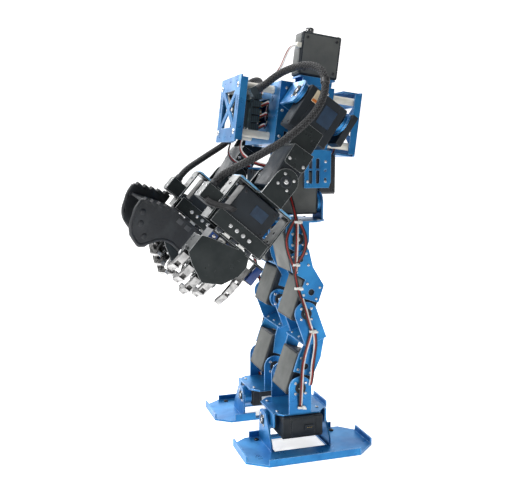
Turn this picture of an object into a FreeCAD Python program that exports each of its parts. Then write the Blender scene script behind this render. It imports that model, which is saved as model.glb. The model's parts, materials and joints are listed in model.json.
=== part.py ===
import FreeCAD, Part
import Sketcher
import os
import re
from math import acos, cos, radians, sin, sqrt, tan
from types import SimpleNamespace
from FreeCAD import Placement, Rotation, Vector

# Humanoid robot kit: a walking frame of sheet-metal brackets and dual-ended servos.
# +Z is up, the robot faces -Y, and its left side is +X. Millimetres.
# Every sub-part is drawn in the frame of the body that carries it, at rest, and the frames are
# chained from the driving dimensions below.

DIMENSIONS = {
    # one digital servo, used in every limb
    "servo_tall": 40.0, "servo_wide": 20.0, "servo_long": 40.0, "servo_shaft_inset": 10.0,
    "servo_boss_radius": 6.0, "servo_boss_rise": 0.6, "servo_groove_deep": 0.5, "servo_groove_wide": 0.6,
    "servo_edge_bevel": 0.9, "bore_radius": 3.05, "bore_deep": 4.0,
    "horn_radius": 9.6, "horn_thick": 3.0, "horn_gap": 0.3, "stub_radius": 3.0, "stub_long": 2.8,
    # sheet metal
    "sheet_thick": 1.6, "sole_thick": 2.0, "ear_wide": 22.0, "ear_narrow": 13.0, "screw_access_radius": 3.6,
    "bracket_half": 25.5, "shelf_corner_cut": 12.0, "swing_clearance": 14.7,
    # trunk
    "trunk_lean": 6.8, "trunk_mid_y": 2.0, "trunk_mid_z": 309.0, "chest_wide": 66.0, "chest_high": 60.0,
    "chest_half_deep": 59.0, "chest_flange": 6.0, "back_flange": 16.0, "cage_half_wide": 43.0,
    "cage_half_deep": 26.0, "cage_half_high": 28.0, "standoff_radius": 3.5, "standoff_spread_x": 27.0,
    "standoff_spread_z": 21.0, "head_mid_y": 22.0, "head_base_z": 41.0, "head_spline_high": 4.6,
    "pelvis_plate_x": 47.6, "pelvis_plate_low": 244.0, "pelvis_shelf_z": 260.0,
    "battery_wide": 54.0, "battery_deep": 18.0, "battery_high": 37.0,
    "board_wide": 46.0, "board_high": 40.0, "gland_deep": 6.0, "sleeve_x": 35.5,
    # legs
    "leg_x": 36.0, "hip_roll_y": -5.0, "hip_roll_z": 230.0, "hip_pitch_y": -10.0, "hip_pitch_z": 199.0,
    "knee_y": -1.0, "knee_z": 130.0, "ankle_y": -6.0, "ankle_z": 60.0, "sole_roll_z": 24.0,
    "hip_servo_lean": 12.6, "knee_servo_lean": 18.5, "knee_bracket_lean": 20.5, "knee_bracket_drop": 28.0,
    "foot_inner_x": 23.0, "foot_outer_x": 89.0, "foot_half_long": 63.5, "foot_flange_high": 7.0,
    "foot_ear_offset": 29.0, "foot_hole_radius": 1.6, "foot_hole_pitch_x": 50.0, "foot_hole_pitch_y": 78.0,
    # arms
    "arm_x": 74.0, "shoulder_y": 4.6, "shoulder_z": 314.0, "upper_arm_lean": 34.0, "elbow_drop": 74.0,
    "elbow_back": 1.5, "forearm_lean": 40.0, "wrist_drop": 64.0, "wrist_servo_start": 21.0,
    "wrist_servo_tall": 37.0, "strip_wide": 54.0, "strip_start": 49.0, "strip_end": 62.8,
    "palm_gap": 12.4, "palm_thick": 1.5, "finger_wide": 6.6, "finger_thick": 5.6, "pin_radius": 1.2,
    "micro_servo_wide": 7.2,
    # cables and hand guard
    "sleeve_radius": 3.3, "guard_thick": 3.0, "guard_gap": 14.4, "right_hand_roll": 20.0,
}

ALIAS = re.compile(r"[a-z]+(?:_[a-z]+)+")
TURN_TO = {"X": Rotation(Vector(0, 1, 0), 90), "Y": Rotation(Vector(1, 0, 0), -90), "Z": Rotation()}
PLANE_ACROSS = {"X": "YZ_Plane", "Y": "XZ_Plane", "Z": "XY_Plane"}
SIDES = (("left", 1), ("right", -1))

doc = FreeCAD.newDocument("humanoid_robot_kit")
sheet = doc.addObject("Spreadsheet::Sheet", "dims")
for row, (alias, amount) in enumerate(DIMENSIONS.items(), start=1):
    sheet.set(f"A{row}", alias.replace("_", " "))
    sheet.set(f"B{row}", str(amount))
    sheet.setAlias(f"B{row}", alias)
doc.recompute()
dim = SimpleNamespace(**{alias: float(sheet.get(alias)) for alias in DIMENSIONS})
nodes = []


# ---------------------------------------------------------------- drawing helpers

def bind(thing, prop, expression):
    """Ties a property to the spreadsheet; words in the expression are its aliases."""
    linked = ALIAS.sub(lambda word: "dims." + word.group(), str(expression))
    thing.setExpression(prop, linked)


def box(name, size, centre=(0, 0, 0)):
    """A block about `centre`, each entry of `size` a number or a sheet expression."""
    block = doc.addObject("Part::Box", name)
    for prop, letter, extent, middle in zip(("Length", "Width", "Height"), "xyz", size, centre):
        bind(block, prop, extent)
        bind(block, "Placement.Base." + letter, f"({middle}) - ({extent}) / 2")
    return block


def rod(name, radius, length, centre=(0, 0, 0), axis="Z"):
    """A round bar of the given length, centred on `centre`."""
    bar = doc.addObject("Part::Cylinder", name)
    bind(bar, "Radius", radius)
    bind(bar, "Height", length)
    bar.Placement = Placement(Vector(), TURN_TO[axis])
    for letter, middle in zip("XYZ", centre):
        half = f" - ({length}) / 2" if letter == axis else ""
        bind(bar, "Placement.Base." + letter.lower(), f"({middle}){half}")
    return bar


def outline_edges(points):
    """Straight edges through the points; a point given as (u, v, radius) is rounded by an arc."""
    corners = [(Vector(p[0], p[1], 0), p[2] if len(p) > 2 else 0.0) for p in points]
    arcs = []
    for i, (corner, radius) in enumerate(corners):
        before = (corners[i - 1][0] - corner).normalize()
        after = (corners[(i + 1) % len(corners)][0] - corner).normalize()
        if radius == 0:
            arcs.append((corner, None, corner))
            continue
        half_angle = acos(before.dot(after)) / 2
        reach = radius / tan(half_angle)
        bisector = (before + after).normalize()
        middle = corner + bisector * (radius / sin(half_angle) - radius)
        arcs.append((corner + before * reach, middle, corner + after * reach))
    edges = []
    for i, (start, middle, end) in enumerate(arcs):
        if middle:
            edges.append(Part.Arc(start, middle, end))
        following = arcs[(i + 1) % len(arcs)][0]
        if end.distanceToPoint(following) > 1e-6:
            edges.append(Part.LineSegment(end, following))
    return edges


def plate(name, outline, normal, at, thick="sheet_thick", holes=(), windows=()):
    """A flat plate as a PartDesign body: a sketched outline with holes, padded about `at`.

    The outline is in the two axes across `normal`, in X, Y, Z order. A hole is (u, v, radius).
    """
    body = doc.addObject("PartDesign::Body", name)
    sketch = body.newObject("Sketcher::SketchObject", name + "_outline")
    planes = [f for f in body.Origin.OriginFeatures if f.Role == PLANE_ACROSS[normal]]
    sketch.AttachmentSupport = (planes[0], [""])
    sketch.MapMode = "FlatFace"
    for loop in (outline, *windows):
        for edge in outline_edges(loop):
            sketch.addGeometry(edge, False)
    for u, v, radius in holes:
        index = sketch.addGeometry(Part.Circle(Vector(u, v, 0), Vector(0, 0, 1), 1.0), False)
        constraint = sketch.addConstraint(Sketcher.Constraint("Radius", index, 1.0))
        bind(sketch, f"Constraints[{constraint}]", radius)
    pad = body.newObject("PartDesign::Pad", name + "_pad")
    pad.Profile = sketch
    pad.Midplane = True
    bind(pad, "Length", thick)
    bind(body, "Placement.Base." + normal.lower(), at)
    return body


def fuse(name, pieces):
    joined = doc.addObject("Part::MultiFuse", name)
    joined.Shapes = pieces
    return joined


def cut(name, base, tools):
    """`base` with every tool taken out of it."""
    for count, tool in enumerate(tools):
        result = doc.addObject("Part::Cut", f"{name}_{count}" if count else name)
        result.Base, result.Tool = base, tool
        base = result
    return base


def moved(name, piece, place):
    """The piece, carried to another place in its body's frame."""
    carrier = doc.addObject("Part::Compound", name)
    carrier.Links = [piece]
    carrier.Placement = place
    return carrier


def node(name, pieces, frame):
    """One finished sub-part: its separate solids, placed in the robot."""
    part = doc.addObject("Part::Compound", name)
    part.Label = name
    part.Links = pieces
    part.Placement = frame
    nodes.append(part)
    return part


def tongue(middle, pivot, base, width):
    """Outline of a bracket's ear: straight sides from `base` to a round end about `pivot`."""
    reach = width / 2 if pivot > base else -width / 2
    tip, round_end = pivot + reach, width * 0.499
    left, right = middle - width / 2, middle + width / 2
    return [(left, base), (left, tip, round_end), (right, tip, round_end), (right, base)]


def rectangle(u_low, u_high, v_low, v_high):
    return [(u_low, v_low), (u_high, v_low), (u_high, v_high), (u_low, v_high)]


def lean(angle):
    """Tilts a frame's top towards the robot's back, in degrees."""
    return Rotation(Vector(1, 0, 0), -angle)


# ---------------------------------------------------------------- servo and horn

HALF_TALL = dim.servo_tall / 2
HORN_START = HALF_TALL + dim.servo_boss_rise + dim.horn_gap
EAR_AT = HORN_START + dim.horn_thick + dim.sheet_thick / 2
SHELF_AT = dim.swing_clearance + dim.sheet_thick / 2
SIDE_PLATE_AT = HALF_TALL + dim.sheet_thick / 2


def servo(name, place=Placement(), open_ends=(1, -1)):
    """A servo with its shaft along X through the origin and its long end along -Z.

    Each open end has the bore that a horn's stub turns in.
    """
    case = box(name + "_block", ("servo_tall", "servo_wide", "servo_long"),
               (0, 0, "servo_shaft_inset - servo_long / 2"))
    bevelled = doc.addObject("Part::Chamfer", name + "_bevelled")
    bevelled.Base = case
    bevelled.Edges = [(edge, dim.servo_edge_bevel, dim.servo_edge_bevel) for edge in range(1, 13)]
    bosses = [rod(f"{name}_boss_{i}", "servo_boss_radius", "servo_boss_rise + 1",
                  (end * (HALF_TALL + dim.servo_boss_rise / 2 - 0.5), 0, 0), "X")
              for i, end in enumerate((1, -1))]
    tools = []
    for i, seam in enumerate((HALF_TALL - 8, -HALF_TALL + 8)):
        skin = box(f"{name}_skin_{i}", ("servo_groove_wide", "servo_wide + 4", "servo_long + 4"),
                   (seam, 0, dim.servo_shaft_inset - dim.servo_long / 2))
        core = box(f"{name}_core_{i}",
                   ("servo_groove_wide + 2", "servo_wide - 2 * servo_groove_deep",
                    "servo_long - 2 * servo_groove_deep"),
                   (seam, 0, dim.servo_shaft_inset - dim.servo_long / 2))
        tools.append(cut(f"{name}_groove_{i}", skin, [core]))
    for i, end in enumerate(open_ends):
        middle = end * (HALF_TALL + dim.servo_boss_rise - dim.bore_deep / 2 + 0.5)
        tools.append(rod(f"{name}_bore_{i}", "bore_radius", "bore_deep + 1", (middle, 0, 0), "X"))
    finished = cut(name + "_case", fuse(name + "_full", [bevelled, *bosses]), tools)
    return moved(name, finished, place)


def horn(name, axis, direction, centre=(0, 0, 0), start=None, thick=None):
    """A servo horn: a disc beside the case and the stub that turns in the case's bore."""
    start = HORN_START if start is None else start
    thick = dim.horn_thick if thick is None else thick
    index = "XYZ".index(axis)
    disc_at, stub_at = list(centre), list(centre)
    disc_at[index] += direction * (start + thick / 2)
    stub_at[index] += direction * (start - dim.stub_long / 2 + 0.5)
    disc = rod(name + "_disc", "horn_radius", thick, disc_at, axis)
    stub = rod(name + "_stub", "stub_radius", "stub_long + 1", stub_at, axis)
    return fuse(name, [disc, stub])


def pair_of_horns(name, axis, centre=(0, 0, 0)):
    return [horn(f"{name}_{i}", axis, end, centre) for i, end in enumerate((1, -1))]


# ---------------------------------------------------------------- frames at rest

WORLD = Placement()
CHEST = Placement(Vector(0, dim.trunk_mid_y, dim.trunk_mid_z), lean(dim.trunk_lean))
ARM_TURN = Rotation(Vector(1, 0, 0), -dim.upper_arm_lean)
FOREARM_TURN = Rotation(Vector(1, 0, 0), -dim.forearm_lean)
SHAFT_ON_Y = Rotation(Vector(0, 0, 1), 90)
UPSIDE_DOWN = Rotation(Vector(1, 0, 0), 180)


def leg_frames(side):
    x = side * dim.leg_x
    return SimpleNamespace(
        hip_roll=Placement(Vector(x, dim.hip_roll_y, dim.hip_roll_z), Rotation()),
        hip_pitch=Placement(Vector(x, dim.hip_pitch_y, dim.hip_pitch_z), Rotation()),
        knee=Placement(Vector(x, dim.knee_y, dim.knee_z), Rotation()),
        ankle=Placement(Vector(x, dim.ankle_y, dim.ankle_z), Rotation()),
        sole=Placement(Vector(x, dim.hip_roll_y, dim.sole_roll_z), Rotation()))


def arm_frames(side):
    shoulder = Placement(Vector(side * dim.arm_x, dim.shoulder_y, dim.shoulder_z), ARM_TURN)
    elbow_spot = shoulder.multVec(Vector(0, dim.elbow_back, -dim.elbow_drop))
    elbow = Placement(elbow_spot, FOREARM_TURN)
    roll = dim.right_hand_roll if side < 0 else 0.0
    wrist = elbow.multiply(Placement(Vector(0, 0, -dim.wrist_drop), Rotation(Vector(0, 0, 1), roll)))
    return SimpleNamespace(shoulder=shoulder, elbow=elbow, wrist=wrist)


# ---------------------------------------------------------------- trunk

def chest_plate(name, at, inward, flange):
    """Front or back plate: an X of sheet metal in a window, with folded side edges."""
    half_wide, half_high = dim.chest_wide / 2, dim.chest_high / 2
    gap, reach_x, reach_z = 4.0, 22.0, 17.0
    slope = reach_z / reach_x
    windows = [
        [(-reach_x + gap, reach_z), (reach_x - gap, reach_z), (0, gap * slope)],
        [(-reach_x + gap, -reach_z), (0, -gap * slope), (reach_x - gap, -reach_z)],
        [(-reach_x, reach_z - gap * slope), (-gap, 0), (-reach_x, -reach_z + gap * slope)],
        [(reach_x, reach_z - gap * slope), (reach_x, -reach_z + gap * slope), (gap, 0)],
        rectangle(half_wide - 5.5, half_wide - 3.5, -2, 12),
        rectangle(-half_wide + 3.5, -half_wide + 5.5, -2, 12),
    ]
    holes = [(x * dim.standoff_spread_x, z * dim.standoff_spread_z, 1.5) for x in (-1, 1) for z in (-1, 1)]
    holes += [(x * 20, z * 25.5, 1.2) for x in (-1, 0, 1) for z in (-1, 1)]
    outline = [(-half_wide, -half_high, 1.5), (half_wide, -half_high, 1.5),
               (half_wide, half_high, 1.5), (-half_wide, half_high, 1.5)]
    sheet_face = plate(name + "_face", outline, "Y", at, holes=holes, windows=windows)
    folds = [box(f"{name}_side_{x}", ("sheet_thick", "chest_flange", "chest_high - 4"),
                 (x * (half_wide - dim.sheet_thick / 2), at + inward * dim.chest_flange / 2, 0))
             for x in (-1, 1)]
    for z in (-1, 1):
        width = dim.chest_wide - 12 if flange > dim.chest_flange else 16
        folds.append(box(f"{name}_end_{z}", (width, flange, "sheet_thick"),
                         (0, at + inward * flange / 2, z * (half_high - dim.sheet_thick / 2))))
    return node(name, [fuse(name + "_sheet", [sheet_face, *folds])], CHEST)


def torso_frame():
    """Open cage between the two chest plates, with the pedestal of the head servo."""
    wide, deep, high = dim.cage_half_wide, dim.cage_half_deep, dim.cage_half_high
    thick = dim.sheet_thick
    walls = [
        plate("cage_front", rectangle(-wide, wide, -high, high), "Y", -deep + thick / 2,
              windows=[rectangle(-18, 18, -12, 14)]),
        plate("cage_back", rectangle(-wide, wide, -high, high), "Y", deep - thick / 2,
              windows=[rectangle(-18, 18, -12, 14)]),
        plate("cage_top", rectangle(-wide, wide, -deep, deep), "Z", high - thick / 2),
        plate("cage_bottom", rectangle(-wide, wide, -deep, deep), "Z", -high + thick / 2),
    ]
    shoulder = CHEST.inverse().multVec(Vector(0, dim.shoulder_y, dim.shoulder_z))
    port, rounding = 12.0, 11.9
    shaft_port = [(shoulder.y + i * port, shoulder.z + j * port, rounding)
                  for i, j in ((-1, -1), (1, -1), (1, 1), (-1, 1))]
    for side in (-1, 1):
        walls.append(plate(f"cage_side_{side + 1}", rectangle(-deep, deep, -high, high), "X",
                           side * (wide + thick / 2), windows=[shaft_port, rectangle(-18, 18, -24, -16)]))
        walls.append(box(f"pedestal_side_{side + 1}", (thick, 30, dim.head_base_z - high + thick / 2),
                         (side * 10, dim.head_mid_y, (dim.head_base_z + high - thick / 2) / 2 - thick / 2)))
    walls.append(box("pedestal_top", (21.6, 36, thick), (0, dim.head_mid_y, dim.head_base_z - thick / 2)))
    return node("torso_frame", [fuse("cage", walls)], CHEST)


def pelvis_frame():
    """Slotted side plates on a shelf over the two hip roll servos."""
    low, shelf = dim.pelvis_plate_low, dim.pelvis_shelf_z
    outline = [(1, low), (25, low), (27, low + 6), (27, trunk_floor(27.0)), (1, trunk_floor(1.0))]
    half, rounding = 1.7, 1.6
    slots = [[(y - half, low + 4, rounding), (y + half, low + 4, rounding),
              (y + half, low + 27, rounding), (y - half, low + 27, rounding)] for y in (7.0, 14.0)]
    pieces = [box("hip_shelf", (2 * dim.pelvis_plate_x, 46, "sheet_thick"),
                  (0, 0, shelf + dim.sheet_thick / 2))]
    for side in (-1, 1):
        pieces.append(plate(f"slotted_plate_{side + 1}", outline, "X", side * dim.pelvis_plate_x,
                            windows=slots, holes=[(21.5, low + rise, 1.3) for rise in (8, 16, 24)]))
    return node("pelvis_frame", [fuse("pelvis", pieces)], WORLD)


def trunk_floor(y):
    """Height of the cage's underside above a point on the shelf, less a hair of clearance."""
    lean_angle = radians(dim.trunk_lean)
    along = (y - dim.trunk_mid_y + dim.cage_half_high * sin(lean_angle)) / cos(lean_angle)
    return dim.trunk_mid_z - along * sin(lean_angle) - dim.cage_half_high * cos(lean_angle) - 0.1


def nylon_standoffs():
    start, end = dim.cage_half_deep, dim.chest_half_deep - dim.sheet_thick / 2
    posts = [rod(f"post_{i}", "standoff_radius", end - start,
                 (x * dim.standoff_spread_x, y * (start + end) / 2, z * dim.standoff_spread_z), "Y")
             for i, (x, y, z) in enumerate((x, y, z) for x in (-1, 1) for y in (-1, 1) for z in (-1, 1))]
    return node("nylon_standoffs", posts, CHEST)


# each gland is a small block on an arm from the board, tilted so that its sleeve leaves up and back
GLAND_TILT = 34.0
SLEEVE_LEAVES = Rotation(Vector(1, 0, 0), GLAND_TILT).multVec(Vector(0, 1, 0))


def gland_middle(side):
    return Vector(side * dim.sleeve_x, -48.0, 15.5)


def control_board():
    """Driver board behind the chest plate, with its header blocks and a relay block."""
    at = -44.0
    thick = dim.sheet_thick
    pieces = [box("circuit_board", ("board_wide", thick, "board_high"), (0, at, 0))]
    for side in (-1, 1):
        for row in range(5):
            pieces.append(box(f"header_{side + 1}_{row}", (5, 8, 5.6),
                              (side * (dim.board_wide / 2 - 3.5), at + thick / 2 + 4, -14 + row * 7)))
        pieces.append(box(f"terminal_{side + 1}", (9, 7, 30), (side * 12, at - thick / 2 - 3.5, 0)))
        block = moved(f"gland_tilted_{side + 1}", box(f"gland_block_{side + 1}", (9, "gland_deep", 8)),
                      Placement(gland_middle(side), Rotation(Vector(1, 0, 0), GLAND_TILT)))
        arm = box(f"gland_arm_{side + 1}", (16.4, 3.2, 6), (side * 24.8, at - thick / 2 - 1.6, 12))
        pieces.append(fuse(f"gland_{side + 1}", [block, arm]))
    pieces.append(box("chip_block", (22, 10, 26), (0, at + thick / 2 + 5, 0)))
    return node("control_board", pieces, CHEST)


def battery_pack():
    place = (0, 23.5 + dim.battery_deep / 2, dim.pelvis_shelf_z - 23 + dim.battery_high / 2)
    pack = box("cells", ("battery_wide", "battery_deep", "battery_high"), place)
    bevelled = doc.addObject("Part::Fillet", "cells_rounded")
    bevelled.Base = pack
    bevelled.Edges = [(edge, 2.0, 2.0) for edge in range(1, 13)]
    return node("battery_pack", [bevelled], WORLD)


def trunk_servos():
    shoulder = CHEST.inverse().multVec(Vector(0, dim.shoulder_y, dim.shoulder_z))
    inner = dim.cage_half_wide - HALF_TALL
    node("shoulder_pitch_servos",
         [servo(f"shoulder_pitch_{name}", Placement(Vector(side * inner, shoulder.y, shoulder.z), Rotation()),
                open_ends=(side,)) for name, side in SIDES], CHEST)
    node("hip_roll_servos",
         [servo(f"hip_roll_{name}", leg_frames(side).hip_roll.multiply(
             Placement(Vector(), UPSIDE_DOWN.multiply(SHAFT_ON_Y)))) for name, side in SIDES], WORLD)


def head():
    """The head is one upright servo with its output spline on top."""
    shaft_y = dim.head_mid_y - dim.servo_long / 2 + dim.servo_shaft_inset
    middle_z = dim.head_base_z + dim.servo_boss_rise + 0.1 + HALF_TALL
    # shaft up, long end towards the back
    upright = Rotation(Vector(0, 1, 0), -90).multiply(Rotation(Vector(1, 0, 0), 90))
    node("head_servo", [servo("head_case", Placement(Vector(0, shaft_y, middle_z), upright), open_ends=(1,))],
         CHEST)
    top = middle_z + HORN_START
    spline = rod("spline_knob", "stub_radius + 0.6", "head_spline_high",
                 (0, shaft_y, top + dim.head_spline_high / 2))
    stub = rod("spline_stub", "stub_radius", "stub_long + 1", (0, shaft_y, top - dim.stub_long / 2 + 0.5))
    node("head_spline", [fuse("spline", [spline, stub])], CHEST)
    return shaft_y


# ---------------------------------------------------------------- leg

def hip_bracket(side_name, side, frames):
    """Two U brackets back to back: ears up to the roll servo, ears down to the pitch servo."""
    pitch_y = dim.hip_pitch_y - dim.hip_roll_y
    drop = dim.hip_pitch_z - dim.hip_roll_z
    access = [(0, 0, "screw_access_radius")]
    edge, corner = dim.bracket_half, dim.bracket_half - dim.shelf_corner_cut
    octagon = [(-edge, -corner), (-corner, -edge), (corner, -edge), (edge, -corner),
               (edge, corner), (corner, edge), (-corner, edge), (-edge, corner)]
    shelf = plate(f"hip_shelf_{side_name}", octagon, "Z", -SHELF_AT)
    ears = [plate(f"hip_roll_ear_{side_name}_{i}", tongue(0, 0, -SHELF_AT, dim.ear_wide), "Y", end * EAR_AT,
                  holes=access) for i, end in enumerate((1, -1))]
    ears += [plate(f"hip_pitch_ear_{side_name}_{i}", tongue(pitch_y, drop, -SHELF_AT, dim.ear_wide), "X",
                   end * EAR_AT, holes=[(pitch_y, drop, "screw_access_radius")])
             for i, end in enumerate((1, -1))]
    horns = pair_of_horns(f"hip_roll_horn_{side_name}", "Y")
    horns += pair_of_horns(f"hip_pitch_horn_{side_name}", "X", (0, pitch_y, drop))
    node(f"hip_bracket_{side_name}", [fuse(f"hip_yoke_{side_name}", [shelf, *ears]), *horns], frames.hip_roll)


def thigh(side_name, side, frames):
    """Hip pitch servo hanging from its pivot, knee servo standing on its own, side plates between."""
    knee_y, knee_z = dim.knee_y - dim.hip_pitch_y, dim.knee_z - dim.hip_pitch_z
    hip_turn = Rotation(Vector(1, 0, 0), dim.hip_servo_lean)
    knee_turn = Rotation(Vector(1, 0, 0), 180 - dim.knee_servo_lean)
    knee_place = Placement(Vector(0, knee_y, knee_z), knee_turn)
    node(f"hip_pitch_servo_{side_name}", [servo(f"hip_servo_{side_name}", Placement(Vector(), hip_turn))],
         frames.hip_pitch)
    node(f"knee_servo_{side_name}", [servo(f"knee_case_{side_name}", knee_place)], frames.hip_pitch)

    def at_hip(y, z):
        spot = hip_turn.multVec(Vector(0, y, z))
        return (spot.y, spot.z)

    def at_knee(y, z):
        spot = knee_place.multVec(Vector(0, y, z))
        return (spot.y, spot.z)

    half, near, far = dim.servo_wide / 2, -12.5, -29.5
    # at the knee the servo is upside down, so its +Y edge faces the front
    outer = [at_hip(-half, near), at_hip(half, near), at_hip(half + 0.5, far), (*at_knee(-half, far), 2.0),
             at_knee(-half, near), at_knee(half, near), at_knee(half - 0.5, far), at_hip(-half, far)]
    slim = 4.2
    inner = [at_hip(-slim, near), at_hip(slim, near), at_hip(slim, far), at_knee(-slim, far),
             at_knee(-slim, near), at_knee(slim, near), at_knee(slim, far + 6), at_hip(-slim, far + 4)]
    lightening = [[*at_hip(0, -19), 3.0], [*at_knee(0, -20), 3.0]]
    rung_spot = ((at_hip(0, far)[0] + at_knee(0, far)[0]) / 2, (at_hip(0, far)[1] + at_knee(0, far)[1]) / 2)
    rung = box(f"thigh_rung_{side_name}", (2 * SIDE_PLATE_AT, 8, "sheet_thick"), (0, *rung_spot))
    sheets = [plate(f"thigh_outer_{side_name}", outer, "X", side * SIDE_PLATE_AT, holes=lightening),
              plate(f"thigh_inner_{side_name}", inner, "X", -side * SIDE_PLATE_AT), rung]
    node(f"thigh_bracket_{side_name}", [fuse(f"thigh_sheet_{side_name}", sheets)], frames.hip_pitch)


def shin(side_name, side, frames):
    """U bracket hanging from the knee, and the ankle pitch servo held in its lower plates."""
    ankle_y, ankle_z = dim.ankle_y - dim.knee_y, dim.ankle_z - dim.knee_z
    servo_place = Placement(Vector(0, ankle_y, ankle_z), Rotation(Vector(1, 0, 0), 180 - dim.knee_servo_lean))
    node(f"ankle_pitch_servo_{side_name}", [servo(f"ankle_servo_{side_name}", servo_place)], frames.knee)

    def at_servo(y, z):
        spot = servo_place.multVec(Vector(0, y, z))
        return (spot.y, spot.z)

    drop = dim.knee_bracket_drop
    access = [(0, 0, "screw_access_radius")]
    bracket = [
        box(f"shin_shelf_{side_name}", ("2 * bracket_half", "ear_wide", "sheet_thick"), (0, 0, -drop)),
        plate(f"shin_outer_ear_{side_name}", tongue(0, 0, -drop, dim.ear_wide), "X", side * EAR_AT,
              holes=access),
        plate(f"shin_inner_ear_{side_name}", tongue(0, 0, -drop, dim.ear_narrow), "X", -side * EAR_AT,
              holes=access),
    ]
    leaning = moved(f"shin_yoke_{side_name}", fuse(f"shin_u_{side_name}", bracket),
                    Placement(Vector(), Rotation(Vector(1, 0, 0), dim.knee_bracket_lean)))
    turn = radians(dim.knee_bracket_lean)
    half_ear = dim.ear_wide / 2

    def at_shelf(y):
        return (y * cos(turn) + drop * sin(turn), y * sin(turn) - drop * cos(turn))

    half, near, far = dim.servo_wide / 2, -12.5, -29.0
    holder = [at_shelf(-half_ear), at_shelf(half_ear), at_servo(-half - 2.0, far - 3), at_servo(-half, near),
              at_servo(half, near), at_servo(half, far)]
    slim = [at_shelf(-half_ear), at_shelf(half_ear - 4), at_servo(-4.5, near), at_servo(4.5, near),
            at_servo(half - 2, far)]
    sheets = [leaning,
              plate(f"shin_outer_{side_name}", holder, "X", side * SIDE_PLATE_AT,
                    holes=[(*at_servo(0, -20), 3.0)]),
              plate(f"shin_inner_{side_name}", slim, "X", -side * SIDE_PLATE_AT)]
    horns = pair_of_horns(f"knee_horn_{side_name}", "X")
    node(f"shin_bracket_{side_name}", [fuse(f"shin_sheet_{side_name}", sheets), *horns], frames.knee)


def ankle(side_name, side, frames):
    """Ears to the ankle pitch servo over an eight-sided plate, with the roll servo lying below."""
    plate_top = -24.0
    access = [(0, 0, "screw_access_radius")]
    reach_x, front, back, corner = dim.bracket_half, -25.0, 28.0, 9.0
    octagon = [(-reach_x + corner, front), (reach_x - corner, front), (reach_x, front + corner),
               (reach_x, back - corner), (reach_x - corner, back), (-reach_x + corner, back),
               (-reach_x, back - corner), (-reach_x, front + corner)]
    sheets = [plate(f"ankle_plate_{side_name}", octagon, "Z", plate_top - dim.sheet_thick / 2)]
    for i, end in enumerate((1, -1)):
        sheets.append(plate(f"ankle_ear_{side_name}_{i}",
                            tongue(0, 0, plate_top - dim.sheet_thick, dim.ear_wide),
                            "X", end * EAR_AT, holes=access))
        sheets.append(box(f"ankle_lug_{side_name}_{i}", (9, "sheet_thick", 13),
                          (side * 17, front + dim.sheet_thick / 2 if end > 0 else back - dim.sheet_thick / 2,
                           plate_top - 6.5)))
    horns = pair_of_horns(f"ankle_horn_{side_name}", "X")
    node(f"ankle_bracket_{side_name}", [fuse(f"ankle_sheet_{side_name}", sheets), *horns], frames.ankle)
    # the roll servo lies flat, its shaft front to back and its long end to the outside
    lying = Rotation(Vector(0, 1, 0), -90 * side).multiply(SHAFT_ON_Y)
    spot = Vector(0, dim.hip_roll_y - dim.ankle_y, dim.sole_roll_z - dim.ankle_z)
    node(f"ankle_roll_servo_{side_name}", [servo(f"sole_servo_{side_name}", Placement(spot, lying))],
         frames.ankle)


def foot(side_name, side, frames):
    """Sole plate with folded edges and the two ears that hold the ankle roll servo."""
    inner, outer = dim.foot_inner_x - dim.leg_x, dim.foot_outer_x - dim.leg_x
    front, back = -dim.foot_half_long - dim.hip_roll_y, dim.foot_half_long - dim.hip_roll_y
    under = -dim.sole_roll_z
    mid_x, mid_y = (inner + outer) / 2, (front + back) / 2

    def across(points):
        return [(side * p[0], *p[1:]) for p in points]

    sole_outline = across([(inner + 11, front), (outer - 13, front), (outer, front + 18), (outer, back - 20),
                           (outer - 18, back), (inner + 14, back), (inner, back - 14), (inner, front + 15)])
    holes = [(side * (mid_x + i * dim.foot_hole_pitch_x / 2), mid_y + j * dim.foot_hole_pitch_y / 2,
              "foot_hole_radius") for i in (-1, 1) for j in (-1, 1)]
    # the two ears are bent up out of the sole, which leaves a window between them
    left_open = across(rectangle(-6, 26, 3 - dim.foot_ear_offset, dim.foot_ear_offset - 3))
    sheets = [plate(f"sole_{side_name}", sole_outline, "Z", under + dim.sole_thick / 2, "sole_thick", holes,
                    [left_open])]
    high, thick = dim.foot_flange_high, dim.sheet_thick
    rim_z = under + high / 2
    rims = [
        ((thick, back - front - 38, high), (outer - thick / 2, (front + back) / 2 - 1, rim_z)),
        ((outer - inner - 24, thick, high), ((inner + outer) / 2 - 1, front + thick / 2, rim_z)),
        ((outer - inner - 32, thick, high), ((inner + outer) / 2 - 2, back - thick / 2, rim_z)),
        ((thick, 22, high + 1), (inner + thick / 2, front + 30, rim_z + 0.5)),
        ((thick, 16, high + 1), (inner + thick / 2, back - 30, rim_z + 0.5)),
    ]
    for i, (size, spot) in enumerate(rims):
        sheets.append(box(f"rim_{side_name}_{i}", size, (side * spot[0], spot[1], spot[2])))
    ear = across([(-11, under), (27, under), (26, under + 8, 3.0), (8.5, 9.5, 7.0), (-8.5, 9.5, 7.0)])
    horns = []
    for i, end in enumerate((1, -1)):
        at = end * dim.foot_ear_offset
        sheets.append(plate(f"foot_ear_{side_name}_{i}", ear, "Y", at, holes=[(0, 0, "screw_access_radius")]))
        hub = dim.foot_ear_offset - thick / 2 - HORN_START
        horns.append(horn(f"foot_horn_{side_name}_{i}", "Y", end, thick=hub))
    node(f"foot_plate_{side_name}", [fuse(f"foot_sheet_{side_name}", sheets), *horns], frames.sole)


# ---------------------------------------------------------------- arm and hand

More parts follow.
